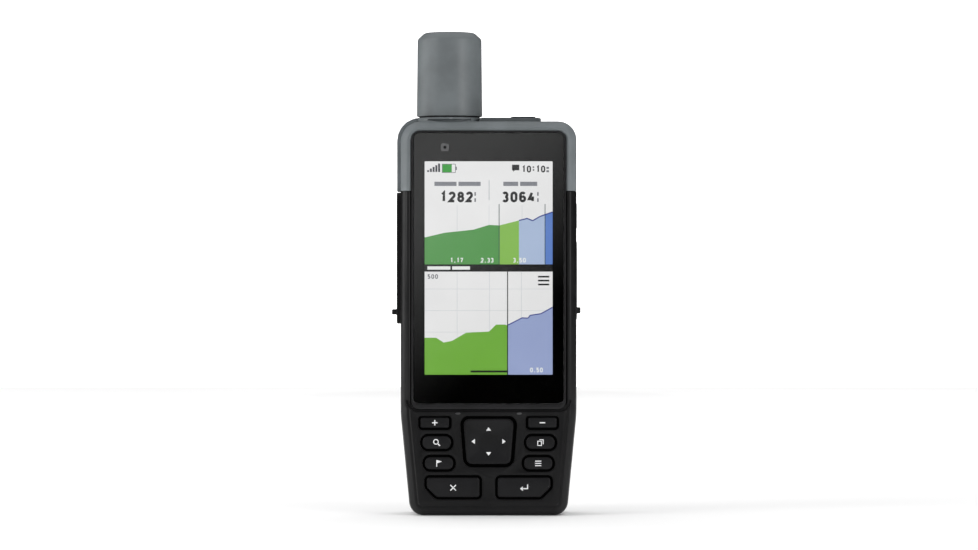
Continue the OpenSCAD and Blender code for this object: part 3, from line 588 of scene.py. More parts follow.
def grip_recess(node, x0, x1):
    """Space on the case's side that the rubber grip fills."""
    low, high = box(node)
    recess = block("recess", (x0, low.y, low.z), (x1, high.y, high.z))
    return cut(recess, prism_xz("core", outline(CASE, SKIN_T), -20, 20))


def side_openings():
    """Pockets and holes for the covers, ports and power key on the case's sides."""
    jack_y, jack_z = (JACK_LO.y + JACK_HI.y) / 2, (JACK_LO.z + JACK_HI.z) / 2
    power = outline(rectangle(POWER_LO.y + 0.5, POWER_HI.y - 0.5, POWER_LO.z + 0.5,
                              POWER_HI.z - 0.5, 1.6), 0, 6)
    return [
        block("cut", (-40, PORT_LO.y - GAP, PORT_LO.z - GAP), (-POCKET_X, 9.2, SKIN_Z + 1)),
        block("cut", (POCKET_X, SOCKET_LO.y - GAP, SOCKET_LO.z - GAP), (40, 8.2, SOCKET_HI.z + GAP)),
        block("cut", (-31, USB_LO.y - 1.6, USB_LO.z - 2.1), (-20, -1.0, USB_HI.z + 2.1)),
        block("cut", (22, jack_y - JACK_HOLE, jack_z - JACK_HOLE),
              (31, jack_y + JACK_HOLE, jack_z + JACK_HOLE)),
        loft("cut", [as_yz(power, 20), as_yz(power, 40)]),
    ]


def key_outline(index, side, spread=0.0):
    x, z, height, radius = KEY_ROWS[index]
    return inset(rectangle(side * x - KEY_W / 2, side * x + KEY_W / 2,
                           z - height / 2, z + height / 2, radius), -spread)


KEY_W = 11.4
KEY_ROWS = [(19.2, 33.3, 4.8, 1.3), (18.5, 26.2, 5.8, 2.7), (17.7, 18.8, 5.6, 2.6)]
WIDE_KEY_X, WIDE_KEY_Z = 12.65, 10.1
WIDE_KEY = [(2.6, 6.1, 1.6), (18.8, 6.1, 2.4), (22.7, 10.1, 2.0), (22.7, 14.3, 1.6), (2.6, 14.3, 1.6)]
PAD = [(-8.6, 17.7, 3.0), (8.6, 17.7, 3.0), (10.0, 35.5, 3.0), (-10.0, 35.5, 3.0)]


def wide_outline(side):
    if side > 0:
        return WIDE_KEY
    return [(-x, z, r) for x, z, r in reversed(WIDE_KEY)]


def upper_skin():
    """Grey skin over the top of the front, with the rim round the top panel."""
    skin = sweep_ring("upper_front_skin", RIDGE + [(2.2, -13.28), (1.22, -12.4), (1.22, SEAM_Y)], CASE)
    keep_side(skin, SKIN_Z + 0.06, True)
    cut(skin, bezel_seat(), *top_tools())
    rim_corners = rectangle(TOP_LO.x - 0.85, TOP_HI.x + 0.85, TOP_LO.y - 0.85, 1.0, 1.0)
    rim = loft("top_panel_rim", [as_xy(outline(rim_corners, depth), z) for depth, z in
                                 [(0, CASE_H - 1.0), (0, PLATFORM_Z - 0.35), (0.1, PLATFORM_Z - 0.1),
                                  (0.35, PLATFORM_Z)]])
    cut(rim, block("cut", (-10, SEAM_Y, 130), (30, 5, ABOVE)), *top_tools())
    place(smooth(rim, 40), RIM_GREY, "case")
    cut(skin, collar_lens())
    place(smooth(skin, 40, 0.1), GREY, "case", ["upper_front_shell"])


def black_band():
    """Black side walls below the grey skin."""
    band = sweep_ring("band", RIDGE + [(LIP, PANEL_BACK), (WALL, PANEL_BACK), (WALL, SEAM_Y)], CASE)
    keep_side(band, SKIN_Z - 0.06, False)
    cut(band, bezel_seat(), rim_groove(), *side_openings(), grip_recess("side_grip_left", -40, -20),
        grip_recess("side_grip_right", 20, 40))
    return smooth(band, 40, 0.1)


def black_core():
    """Black wall behind the grey skin."""
    core = sweep_ring("core", [(1.25, SEAM_Y), (1.25, -12.4), (2.2, -13.26), (LIP, SEAT_Y),
                               (LIP, PANEL_BACK), (WALL, PANEL_BACK), (WALL, SEAM_Y)], CASE)
    keep_side(core, SKIN_Z, True)
    return cut(core, block("cut", (TOP_LO.x - FIT, TOP_LO.y - FIT, TOP_POCKET_Z),
                           (TOP_HI.x + FIT, 6.5, ABOVE)))


def key_panel():
    """Face round the keys, with a well for each key and the pad."""
    panel = stack("panel", case_outline(PANEL_TOP, 0.3, 0.3),
                  [(PANEL_INSET, PANEL_BACK), (PANEL_INSET, PANEL_Y)])
    wells = []
    for side in (-1, 1):
        wells += [outline(key_outline(index, side, MOAT)) for index in range(len(KEY_ROWS))]
        wells.append(outline(wide_outline(side), -MOAT))
    wells.append(outline(PAD, -PAD_MOAT))
    cut(panel, bezel_seat(), rim_groove(), *[prism_xz("cut", well, CUT_FRONT, CUT_BACK) for well in wells])
    return smooth(panel, 40, 0.16, 3)


def pip(name, side):
    """Small oval bump above the keys, in a light grey that is a painted highlight."""
    rings = [as_xz([(side * 10.95 + 0.95 * k * math.cos(t), 36.55 + 0.42 * k * math.sin(t))
                    for t in (2 * math.pi * i / 24 for i in range(24))], PANEL_Y - rise)
             for k, rise in ((1, -0.1), (1, 0.0), (0.85, 0.12), (0.5, 0.2), (0.1, 0.22))]
    place(smooth(loft(name, rings), 50), PIP_HIGHLIGHT, "case")


def front_case():
    upper_skin()
    parts = [black_band(), black_core(), key_panel()]
    parts.append(frame_ring("ledge", rectangle(-28.7, 28.7, 35.6, 138, 2),
                            rectangle(-25, 25, 46.4, 129.5, 1),
                            [(0, SEAT_Y), (0, PANEL_BACK), (1, PANEL_BACK), (1, SEAT_Y)]))
    pip("pip_left", -1)
    pip("pip_right", 1)
    housing = join("front_housing_shell", parts)
    place(smooth(housing, 40), BLACK, "case", ["front_housing"])


def bezel_seat():
    """Recess that the display's rim sits in."""
    corners = rectangle(BEZEL_LO.x - FIT, BEZEL_HI.x + FIT, BEZEL_LO.z - FIT, BEZEL_HI.z + FIT, 3.05)
    return prism_xz("cut", outline(corners), CUT_FRONT, SEAT_Y)


def rim_groove():
    """Groove that runs under the display's rim and turns up at both ends."""
    groove = frame_ring("cut", rectangle(-29.5, 29.5, BEZEL_LO.z - 0.75, 60, 4.0),
                        rectangle(-28.5, 28.5, BEZEL_LO.z + 0.35, 60, 3.1),
                        [(0, CUT_FRONT), (0, -13.5), (1, -13.5), (1, CUT_FRONT)])
    return keep_side(groove, BEZEL_LO.z + 3.4, False)


def collar_lens():
    """Slit in front of the antenna's collar, deepest in the middle."""
    stations = []
    for i in range(25):
        angle = math.radians(-132 + 84 * i / 24)
        depth = 1.15 * (1 - ((i - 12) / 12) ** 2) + 0.02
        section = [(10.3, LENS_TOP - depth), (14.5, LENS_TOP - depth), (14.5, LENS_TOP), (10.3, LENS_TOP)]
        stations.append([(AXIS_X + r * math.cos(angle), AXIS_Y + r * math.sin(angle), z)
                         for r, z in section])
    return loft("cut", stations)


def top_tools():
    """Pocket for the top panel and clearance for the antenna's collar."""
    return [block("cut", (TOP_LO.x - FIT, TOP_LO.y - FIT, TOP_POCKET_Z),
                  (TOP_HI.x + FIT, TOP_HI.y + FIT, ABOVE)),
            lathe("cut", [(11.5, 139.2), (11.5, ABOVE)], (AXIS_X, AXIS_Y))]


TOP_LO, TOP_HI = box("top_panel")
PLATFORM_Z = TOP_HI.z - 0.15
LENS_TOP = 141.75
CAP_LO, CAP_HI = box("antenna_cap")
AXIS_X = (CAP_LO.x + CAP_HI.x) / 2
AXIS_Y = (CAP_LO.y + CAP_HI.y) / 2


def back_case():
    place(refine("rear_housing", 0.2, 2), BLACK, "case", ["rear_housing"])
    shell = refine("upper_rear_shell", 0)
    cut(shell, collar_lens())
    place(smooth(shell, 30, 0.18), GREY, "case", ["upper_rear_shell"])
    for node, side in (("side_grip_left", -1), ("side_grip_right", 1)):
        grip = refine(node, 0)
        deep, out = sorted((side * (HALF_W - GROOVE_DEPTH), side * (HALF_W + 1)))
        cut(grip, *[block("cut", (deep, GROOVE_Y[0], z), (out, GROOVE_Y[1], z + GROOVE_W))
                    for z in GRIP_GROOVES])
        place(smooth(grip, 30, 0.12), RUBBER, "case", [node])


# ---- Display ----

PICTURE_W, PICTURE_H, PICTURE_Z = 45.7, 76.2, 88.5
PICTURE_LEFT, PICTURE_FOOT = -PICTURE_W / 2, PICTURE_Z - PICTURE_H / 2
DIGITS = {
    "0": [arc(0.5, 1.3, 0.5, 0, 180, 8) + arc(0.5, 0.5, 0.5, 180, 360, 8) + [(1.0, 1.35)]],
    "1": [[(0.25, 1.45), (0.6, 1.8), (0.6, 0.0)]],
    "2": [arc(0.5, 1.3, 0.5, 170, -30, 10) + [(0.0, 0.0), (1.0, 0.0)]],
    "3": [arc(0.48, 1.35, 0.45, 150, -90, 10), arc(0.48, 0.45, 0.48, 90, -150, 10)],
    "4": [[(1.05, 0.45), (0.0, 0.45), (0.62, 1.8)], [(0.8, 1.0), (0.8, 0.0)]],
    "5": [[(0.95, 1.8), (0.1, 1.8), (0.1, 1.0)] + arc(0.48, 0.52, 0.52, 110, -150, 12)],
    "7": [[(0.0, 1.8), (0.95, 1.8), (0.4, 0.0)]],
    "6": [arc(0.5, 0.5, 0.5, 90, 450, 18), [(0.0, 0.5), (0.0, 1.3)] + arc(0.5, 1.3, 0.5, 170, 30, 8)],
    "8": [arc(0.5, 1.37, 0.42, -90, 270, 16), arc(0.5, 0.5, 0.5, 90, 450, 18)],
}
TOP_EDGE = [(0, 49.0), (7.2, 50.7), (17.5, 51.8), (23.0, 53.5), (26.6, 53.3), (33.4, 55.0),
            (36.6, 55.8), (38.6, 55.0), (41.2, 56.5), (45.7, 58.1)]
LOW_EDGE = [(0, 13.2), (4.1, 13.2), (6.8, 11.5), (9.8, 12.1), (14.8, 15.0), (23.0, 15.4),
            (25.5, 17.9), (28.6, 17.9), (29.8, 17.6), (34.8, 20.3), (36.9, 20.2), (37.7, 21.2),
            (41.6, 21.8), (45.7, 24.1)]
TOP_PANE_FOOT = 39.4
LOW_PANE_TOP = 36.8
LAYER_T = 0.012
MASK_BACK = MASK_HI.y - 0.02
SPLIT_U = 29.6
SCREEN_INK = picture_colour("screen_ink", 12, 12, 15)
PALE_INK = picture_colour("screen_pale_ink", 236, 238, 236)
SOFT_INK = picture_colour("screen_soft_ink", 104, 106, 112)
GRAPH_LINE = picture_colour("screen_line", 48, 62, 140)
GRID = picture_colour("screen_grid", 208, 211, 214)


def level(edge, u):
    """Height of a graph's edge at u."""
    for (u0, v0), (u1, v1) in zip(edge, edge[1:]):
        if u <= u1:
            return v0 + (v1 - v0) * (u - u0) / (u1 - u0)
    return edge[-1][1]


def area_under(edge, u0, u1, foot):
    """Graph area between u0 and u1, from foot up to the edge."""
    inner = [p for p in edge if u0 < p[0] < u1]
    return [(u0, foot), (u1, foot), (u1, level(edge, u1))] + inner[::-1] + [(u0, level(edge, u0))]


def digits(text, u, v, height, width, pitch, line):
    """Strokes of digits, their lower left corner at (u, v)."""
    shapes = []
    for figure in text:
        if figure in ":.":
            for lift in (0.2, 0.72) if figure == ":" else (0.0,):
                low = v + lift * height - (line / 2 if figure == "." else 0)
                shapes.append(bar(u, u + line, low, low + line))
            u += line + pitch - width
            continue
        for path in DIGITS[figure]:
            shapes.append(stroke([(u + x * width, v + z * height / 1.8) for x, z in path], line))
        u += pitch
    return shapes


def layer(name, shapes, depth, material):
    """Part of the picture, given in the picture's own frame, lying depth above the panel."""
    y = MASK_BACK - depth * LAYER_T
    obj = prisms(name, moved(shapes, PICTURE_LEFT, PICTURE_FOOT), y, y - LAYER_T)
    place(obj, material, "case")


def status_bar():
    """Signal, battery, message and clock along the picture's top."""
    bars = [bar(0.9 + i * 0.98, 1.6 + i * 0.98, 72.4, 73.0 + i * 0.6) for i in range(5)]
    layer("picture_signal", bars, 1, picture_colour("screen_slate", 38, 42, 54))
    cell = stroke([(6.3, 72.2), (11.0, 72.2), (11.0, 75.2), (6.3, 75.2), (6.3, 72.1)], 0.2)
    layer("picture_cell", [cell, bar(11.1, 11.5, 73.1, 74.3)], 1, SOFT_INK)
    layer("picture_charge", [bar(6.4, 9.7, 72.3, 75.1)], 1, picture_colour("screen_charge", 44, 156, 50))
    letter = [bar(31.2, 33.8, 73.0, 75.0), [(31.6, 73.0), (31.6, 72.5), (32.3, 73.0)]]
    layer("picture_letter", letter, 1, SCREEN_INK)
    layer("picture_clock", digits("10:10", 34.9, 72.45, 1.95, 1.0, 1.85, 0.52), 1, SCREEN_INK)


def readings():
    """Two headings, shown as bars, and the figures under them."""
    spans = ((3.5, 11.4), (12.1, 20.0), (28.1, 33.4), (34.1, 40.2))
    headings = [bar(u0, u1, 67.4, 68.9) for u0, u1 in spans]
    layer("picture_headings", headings, 1, picture_colour("screen_heading", 128, 130, 136))
    figures = []
    for text, u in (("1282", 5.9), ("3064", 28.0)):
        figures += digits(text, u, 62.0, 2.95, 1.6, 3.1, 0.92)
    layer("picture_figures", figures, 1, SCREEN_INK)
    units = [bar(u, u + 0.5, v, v + 1.3) for u in (17.8, 40.2) for v in (61.7, 63.9)]
    units += [bar(43.5, 44.4, v, v + 0.7) for v in (72.3, 73.5)]
    layer("picture_units", units, 1, SOFT_INK)
    divider = picture_colour("screen_rule", 176, 180, 184)
    layer("picture_divider", [bar(22.9, 23.15, 62.3, 69.5)], 1, divider)


def upper_pane():
    """Upper graph, in four shades, with its markers and the band below it."""
    shades = [("dark_green", 0, 26.8, (84, 152, 78)), ("light_green", 26.8, 33.7, (135, 188, 82)),
              ("pale_blue", 33.7, 42.9, (173, 190, 219)), ("blue", 42.9, PICTURE_W, (92, 128, 200))]
    for name, u0, u1, rgb in shades:
        layer("picture_upper_" + name, [area_under(TOP_EDGE, u0, u1, TOP_PANE_FOOT)], 1,
              picture_colour("screen_upper_" + name, *rgb))
    start = (33.7, level(TOP_EDGE, 33.7))
    layer("picture_upper_line", [stroke([start] + [q for q in TOP_EDGE if q[0] > 34], 0.42)], 3, GRAPH_LINE)
    grid = [bar(u - 0.08, u + 0.08, TOP_PANE_FOOT, 60.5) for u in (11.6, 23.0, 34.8)]
    layer("picture_upper_grid", grid, 0.5, GRID)
    layer("picture_markers", [bar(u - 0.14, u + 0.14, TOP_PANE_FOOT, 60.9) for u in (26.6, 43.0)], 2,
          picture_colour("screen_marker", 52, 74, 76))
    layer("picture_band", [bar(-0.3, PICTURE_W + 0.3, LOW_PANE_TOP, TOP_PANE_FOOT)], 2,
          picture_colour("screen_black", 3, 3, 4))
    layer("picture_title", [bar(1.0, 9.2, 37.5, 38.7), bar(9.8, 16.2, 37.5, 38.7)], 3, PALE_INK)
    marks = []
    for text, u in (("1.17", 9.3), ("2.33", 20.2), ("3.50", 31.7)):
        marks += digits(text, u, 40.2, 1.35, 0.7, 1.3, 0.36)
    layer("picture_marks", marks, 3, PALE_INK)


def lower_pane():
    """Lower graph, its cursor and its menu sign."""
    layer("picture_lower_green", [area_under(LOW_EDGE, 0, SPLIT_U, -0.3)], 1,
          picture_colour("screen_lower_green", 114, 175, 61))
    layer("picture_lower_blue", [area_under(LOW_EDGE, SPLIT_U, PICTURE_W, -0.3)], 1,
          picture_colour("screen_lower_blue", 155, 168, 208))
    start = (SPLIT_U, level(LOW_EDGE, SPLIT_U))
    layer("picture_lower_line", [stroke([start] + [q for q in LOW_EDGE if q[0] > 30], 0.38)], 3, GRAPH_LINE)
    grid = [bar(u - 0.08, u + 0.08, 0, LOW_PANE_TOP) for u in (11.6, 23.2, 34.6)]
    grid += [bar(0, PICTURE_W, v - 0.07, v + 0.07) for v in (7.4, 15.2, 22.9, 30.6)]
    layer("picture_lower_grid", grid, 0.5, GRID)
    layer("picture_cursor", [bar(29.45, 29.8, 0, LOW_PANE_TOP), bar(16.4, SPLIT_U, 0.8, 1.5)], 4, SCREEN_INK)
    layer("picture_menu", [bar(40.5, 44.5, v, v + 0.6) for v in (34.7, 33.3, 31.9)], 2, SCREEN_INK)
    layer("picture_low_marks", digits("0.50", 37.8, 1.0, 1.35, 0.7, 1.3, 0.34), 4, PALE_INK)
    layer("picture_height_mark", digits("500", 1.2, 34.4, 1.3, 0.7, 1.35, 0.32), 4, SOFT_INK)


def picture():
    layer("picture_background", [bar(-0.3, PICTURE_W + 0.3, -0.3, PICTURE_H + 0.3)], 0,
          picture_colour("screen_white", 238, 237, 237))
    status_bar()
    readings()
    upper_pane()
    lower_pane()


def display():
    bezel = frame_ring("display_rim", rectangle(BEZEL_LO.x, BEZEL_HI.x, BEZEL_LO.z, BEZEL_HI.z, 3.0),
                       rectangle(GLASS_LO.x - FIT, GLASS_HI.x + FIT, GLASS_LO.z - FIT,
                                 GLASS_HI.z + FIT, 2.2),
                       [(0, SEAT_Y), (0, -14.6), (0.08, -14.82), (0.3, -14.9), (0.75, -14.88),
                        (0.95, -14.72), (1, -14.4), (1, SEAT_Y)])
    place(smooth(bezel, 50), RIM, "case", ["display_bezel"])
    glass_corners = rectangle(GLASS_LO.x, GLASS_HI.x, GLASS_LO.z, GLASS_HI.z, 2.2)
    glass = stack("cover_pane", glass_corners, [(0.15, GLASS_HI.y - 0.02), (0, GLASS_HI.y - 0.12),
                                                (0, GLASS_LO.y + 0.15), (0.15, GLASS_LO.y)])
    place(smooth(glass, 30), GLASS, "case", ["display_glass"])
    mask = prism_xz("printed_mask", outline(glass_corners, 0.02), MASK_LO.y, MASK_BACK)
    window = prism_xz("cut", outline(rectangle(PICTURE_LEFT, -PICTURE_LEFT, PICTURE_FOOT,
                                               PICTURE_FOOT + PICTURE_H, 0.3)), -14, -13)
    sensor_lo, sensor_hi = box("light_sensor")
    spot = prism_xz("cut", outline(rectangle(sensor_lo.x, sensor_hi.x, sensor_lo.z, sensor_hi.z, 0.6)),
                    -14, -13)
    cut(mask, window, spot)
    sensor_window(sensor_lo, sensor_hi)
    place(mask, INK, "case", ["display_mask"])
    picture()


def sensor_window(low, high):
    """Smoked window of the light sensor, set into the glass."""
    corners = rectangle(low.x - 0.15, high.x + 0.15, low.z - 0.15, high.z + 0.15, 0.8)
    front = GLASS_LO.y
    pane = stack("sensor_window", corners, [(0, front + 0.1), (0, front - 0.01), (0.06, front - 0.03)], 6)
    place(smooth(pane, 40), SMOKED, "case")
    dot = prisms("sensor_dot", [circle((low.x + high.x) / 2, (low.z + high.z) / 2, 0.55, 24)],
                 front - 0.045, front)
    place(dot, KEY, "case")


# ---- Keys ----

KEY_FACE = -15.1
KEY_GAP = 0.64
KEY_EDGE = 0.42
KEY_SIDE = 0.1
FLANGE_FRONT, FLANGE_BACK = -13.05, -12.25


def key_cap(name, corners):
    """Hard cap with a rounded edge, on the rubber skirt that holds it behind the panel; the skirt is near
    black as painted shade in the moat.
    """
    body, steps = name + "_key", 8
    cap_foot = KEY_FACE + KEY_EDGE + KEY_SIDE
    stations = [(KEY_GAP, cap_foot), (KEY_GAP, KEY_FACE + KEY_EDGE)]
    for i in range(1, 6):
        angle = math.pi / 2 * i / 5
        stations.append((KEY_GAP + KEY_EDGE * (1 - math.cos(angle)),
                         KEY_FACE + KEY_EDGE * (1 - math.sin(angle))))
    cap = stack("key_cap_" + name, corners, stations, steps)
    place(smooth(cap, 50), KEY, body, ["key_" + name])
    skirt = stack("key_skirt_painted_shade_" + name, corners, [(-0.5, FLANGE_BACK), (-0.5, FLANGE_FRONT),
                                                 (KEY_GAP, FLANGE_FRONT), (KEY_GAP, cap_foot)], steps)
    place(smooth(skirt, 50), SKIRT_SHADE, body)


PAD_DISH_R = 3.6
PAD_RIM = 1.35
PAD_DROP = 1.0
PAD_SIDE = 1.3
PAD_CENTRE = (PAD[0][1] + PAD[2][1]) / 2


def pad_ring(depth, toward_dish=0.0):
    """Outline of the pad with points along its sides, drawn towards the round dish in its middle."""
    steps, sides = 6, 8
    outer = outline(PAD, depth, steps)
    points = []
    for corner in range(4):
        arc_points = outer[corner * (steps + 1):(corner + 1) * (steps + 1)]
        a, b = arc_points[-1], outer[(corner + 1) * (steps + 1) % len(outer)]
        side = [(a[0] + (b[0] - a[0]) * i / (sides + 1), a[1] + (b[1] - a[1]) * i / (sides + 1))
                for i in range(1, sides + 1)]
        diagonal = -135 + 90 * corner
        angles = [diagonal - 5 + 10 * i / steps for i in range(steps + 1)]
        angles += [diagonal + 5 + 80 * i / (sides + 1) for i in range(1, sides + 1)]
        for (x, z), angle in zip(arc_points + side, angles):
            dish_x = PAD_DISH_R * math.cos(math.radians(angle))
            dish_z = PAD_CENTRE + PAD_DISH_R * math.sin(math.radians(angle))
            points.append((x + (dish_x - x) * toward_dish, z + (dish_z - z) * toward_dish))
    return points


def pad_cap():
    lo, hi = box("dpad_cap")
    # The pad's skirt is near black as painted shade in its moat.
    skirt = loft("four_way_skirt", [as_xz(pad_ring(d), y) for d, y in
                                    [(-0.4, hi.y), (-0.4, hi.y - 0.6), (0.85, hi.y - 0.6),
                                     (0.85, lo.y + PAD_SIDE)]])
    place(smooth(skirt, 50), SKIRT_SHADE, "pad")
    rings = [as_xz(pad_ring(d), y) for d, y in
             [(0.85, lo.y + PAD_SIDE), (0.85, lo.y + 0.5), (0.9, lo.y + 0.25), (1.05, lo.y + 0.08),
              (PAD_RIM, lo.y)]]
    for share in (0.08, 0.35, 0.65, 0.92, 1.0):
        rings.append(as_xz(pad_ring(PAD_RIM, share), lo.y + PAD_DROP * (share - 0.02)))
    centre_ring = pad_ring(PAD_RIM, 1.0)
    for scale, drop in ((0.8, 0.04), (0.4, 0.06), (0.05, 0.06)):
        ring = [(x * scale, PAD_CENTRE + (z - PAD_CENTRE) * scale) for x, z in centre_ring]
        rings.append(as_xz(ring, lo.y + PAD_DROP + drop))
    pad = smooth(loft("four_way_pad", rings), 22)
    place(pad, KEY, "pad", ["dpad_cap"])


def pad_arrow(name, turn, reach, outer_half):
    """Arrow inlay that follows the slope of the pad's facet."""
    lo, _ = box("dpad_cap")
    shapes = moved(turned(ICONS["arrow"], turn), 0, 0, 0.95)
    along = Vector((-math.sin(math.radians(turn)), math.cos(math.radians(turn))))
    outline_points = [(x + along.x * reach, z + along.y * reach) for x, z in shapes[0]]

    def face(point):
        out = Vector(point).dot(along)
        share = (outer_half - out) / (outer_half - PAD_DISH_R)
        return lo.y + PAD_DROP * min(max(share, 0.0), 1.0)

    front = [(x, face((x, z)) - 0.05, z + PAD_CENTRE) for x, z in outline_points]
    back = [(x, face((x, z)) + 0.25, z + PAD_CENTRE) for x, z in outline_points]
    place(loft(name, [front, back]), LEGEND, "pad")


ICONS = {
    "plus": [bar(-0.85, 0.85, -0.17, 0.17), bar(-0.17, 0.17, 0.17, 0.85), bar(-0.17, 0.17, -0.85, -0.17)],
    "minus": [bar(-0.85, 0.85, -0.17, 0.17)],
    "magnifier": [stroke(arc(-0.25, 0.25, 0.72, 0, 360, 28), 0.28),
                  stroke([(0.28, -0.28), (1.0, -1.0)], 0.38)],
    "flag": [stroke([(-0.7, -1.05), (-0.7, 1.05)], 0.28), [(-0.56, 1.05), (0.95, 0.55), (-0.56, 0.05)]],
    "sheets": [stroke([(-0.85, -0.9), (0.3, -0.9), (0.3, 0.45), (-0.85, 0.45), (-0.85, -1.0)], 0.24),
               stroke([(-0.3, 0.9), (0.85, 0.9), (0.85, -0.5)], 0.24)],
    "lines": [bar(-0.95, 0.95, z - 0.14, z + 0.14) for z in (-0.7, 0.0, 0.7)],
    "cross": [stroke([(-0.8, -0.8), (0.8, 0.8)], 0.3), stroke([(-0.8, 0.8), (0.8, -0.8)], 0.3)],
    "return": [stroke([(1.0, 0.95), (1.0, -0.25), (-0.5, -0.25)], 0.3),
               [(-0.35, 0.45), (-1.15, -0.25), (-0.35, -0.95)]],
    "arrow": [[(-0.95, -0.55), (0.95, -0.55), (0.0, 0.75)]],
}


def turned(shapes, degrees):
    c, s = math.cos(math.radians(degrees)), math.sin(math.radians(degrees))
    return [[(x * c - z * s, x * s + z * c) for x, z in shape] for shape in shapes]


def legend(name, icon, x, z, scale):
    """Sign let into a key's face."""
    inlay = prisms("legend_" + name, moved(ICONS[icon], x, z, scale), KEY_FACE - 0.03, KEY_FACE + 0.12)
    place(inlay, LEGEND, name + "_key")


def keys():
    small = [("zoom_in", "plus", 0, -1), ("zoom_out", "minus", 0, 1), ("find", "magnifier", 1, -1),
             ("page", "sheets", 1, 1), ("mark", "flag", 2, -1), ("menu", "lines", 2, 1)]
    for name, icon, row, side in small:
        key_cap(name, key_outline(row, side))
        legend(name, icon, side * KEY_ROWS[row][0], KEY_ROWS[row][1], 1.15)
    for name, icon, side in (("quit", "cross", -1), ("enter", "return", 1)):
        key_cap(name, wide_outline(side))
        legend(name, icon, side * WIDE_KEY_X, WIDE_KEY_Z, 1.25)
    pad_cap()
    half_high = (PAD[2][1] - PAD[0][1]) / 2 - PAD_RIM
    half_wide = (PAD[1][0] + PAD[2][0]) / 2 - PAD_RIM
    for turn, reach, half in ((0, 4.35, half_high), (90, 5.4, half_wide), (180, 4.35, half_high),
                              (270, 5.4, half_wide)):
        pad_arrow("legend_arrow_%d" % turn, turn, reach, half)


# ---- Antenna and top ----

def antenna():
    """Slightly tapered cover with a bevelled top, hollow for the core."""
    foot, top = CAP_LO.z, CAP_HI.z
    r0 = (CAP_HI.x - CAP_LO.x) / 2
    profile = [(r0 - 1.3, foot), (r0 - 0.25, foot), (r0 - 0.06, foot + 0.1), (r0, foot + 0.35)]
    for i in range(1, 7):
        profile.append((r0 - 0.25 * i / 6, foot + 0.35 + (top - foot - 3.4) * i / 6))
    r1 = r0 - 0.25
    profile += [(r1 - 0.08, top - 2.65), (r1 - 0.35, top - 2.15), (r1 - 2.1, top - 0.55),
                (r1 - 2.5, top - 0.3), (r1 - 3.1, top - 0.1), (r1 - 4.2, top), (0.4, top)]
    cap = lathe("antenna_cover", profile, (AXIS_X, AXIS_Y), 128)
    inner = lathe("cut", [(r0 - 1.3, foot - 1), (r0 - 1.5, top - 4.6), (r0 - 4.1, top - 2), (0.4, top - 2)],
                  (AXIS_X, AXIS_Y))
    cut(cap, inner)
    place(smooth(cap, 28), CAP_GREY, "case", ["antenna_cap"])


def top_panel():
    place(refine("top_panel", 0.12), BLACK, "case", ["top_panel"])
    lo, hi = box("lamp_key")
    corners = rectangle(lo.x + 0.8, hi.x - 0.8, lo.y + 0.8, hi.y - 0.8, 1.4)
    rings = [as_xy(outline(corners, d), z) for d, z in
             [(-0.8, lo.z), (-0.8, lo.z + 0.9), (0, lo.z + 0.9), (0, hi.z - 0.4), (0.1, hi.z - 0.15),
              (0.35, hi.z), (1.0, hi.z - 0.02), (1.8, hi.z - 0.1)]]
    place(smooth(loft("lamp_button_cap", rings), 50), RUBBER, "lamp_button", ["lamp_key"])
    lo, hi = box("lamp_lens")
    centre = ((lo.x + hi.x) / 2, (lo.y + hi.y) / 2)
    r = (hi.x - lo.x) / 2
    lens = lathe("lamp_window", [(r - 0.15, lo.z), (r, lo.z + 0.15), (r, hi.z - 0.3), (r - 0.3, hi.z - 0.1),
                                 (r - 1.2, hi.z), (0.3, hi.z)], centre)
    place(smooth(lens, 40), LENS, "case", ["lamp_lens"])


# ---- Side covers, power key ----

def side_controls():
    place(refine("port_cover", 0.35, 3), RUBBER, "port_flap", ["port_cover"])
    place(refine("socket_cover", 0.3, 3), RUBBER, "socket_flap", ["socket_cover"])
    place(refine("power_key", 0.25, 3), RUBBER, "power_button", ["power_key"])


# ---- Back ----

CASE_SCREWS = [(26.2, 62), (26.2, 121), (24, 6.4)]
SPINE_SCREWS = [(0, 107), (0, 125)]
DOOR_GROOVES = range(82, 93, 2)


def cross_slots(places, y):
    """Tools that cut a cross recess into each screw head whose top is at y."""
    tools = []
    for x, z in places:
        for half_x, half_z in ((1.3, 0.3), (0.3, 1.3)):
            tools.append(block("cut", (x - half_x, y - 0.8, z - half_z), (x + half_x, y + 1, z + half_z)))
    return tools


def screws(node, places):
    piece = refine(node, 0)
    cut(piece, *cross_slots(places, box(node)[1].y))
    place(smooth(piece, 30, 0.08), STEEL, "case", [node])


def back_pieces():
    door = refine("battery_door", 0)
    cut(door, *[block("cut", (-9, BACK_Y - 0.4, z), (9, BACK_Y + 1, z + 0.9)) for z in DOOR_GROOVES])
    place(smooth(door, 30, 0.2, 3), BLACK, "door", ["battery_door"])
    screws("housing_screws", [(side * x, z) for side in (-1, 1) for x, z in CASE_SCREWS])
    screws("spine_screws", SPINE_SCREWS)
    place(refine("latch_screw", 0.25, 3), STEEL, "latch", ["latch_screw"])
    place(refine("d_ring", 0), STEEL, "ring", ["d_ring"])
    place(refine("mount_spine", 0.3, 3), BLACK, "case", ["mount_spine"])


# ---- Everything that keeps its CAD surface ----

def carried_over():
    """Inner parts show their CAD surface in their own material."""
    for name, obj in frame["nodes"].items():
        if obj.hide_render:
            continue
        obj.data.materials.clear()
        obj.data.materials.append(SLOT_MATERIALS[NODE_SLOTS[name]])


front_case()
back_case()
display()
keys()
antenna()
top_panel()
side_controls()
back_pieces()
carried_over()


# ---- Stage ----

def stage_plane(name, corners, material):
    """Flat sheet that belongs to the studio, with its corners in metres."""
    mesh = bpy.data.meshes.new(name)
    mesh.from_pydata(corners, [], [(0, 1, 2, 3)])
    obj = new_object(name, mesh)
    obj.data.materials.append(material)
    return obj


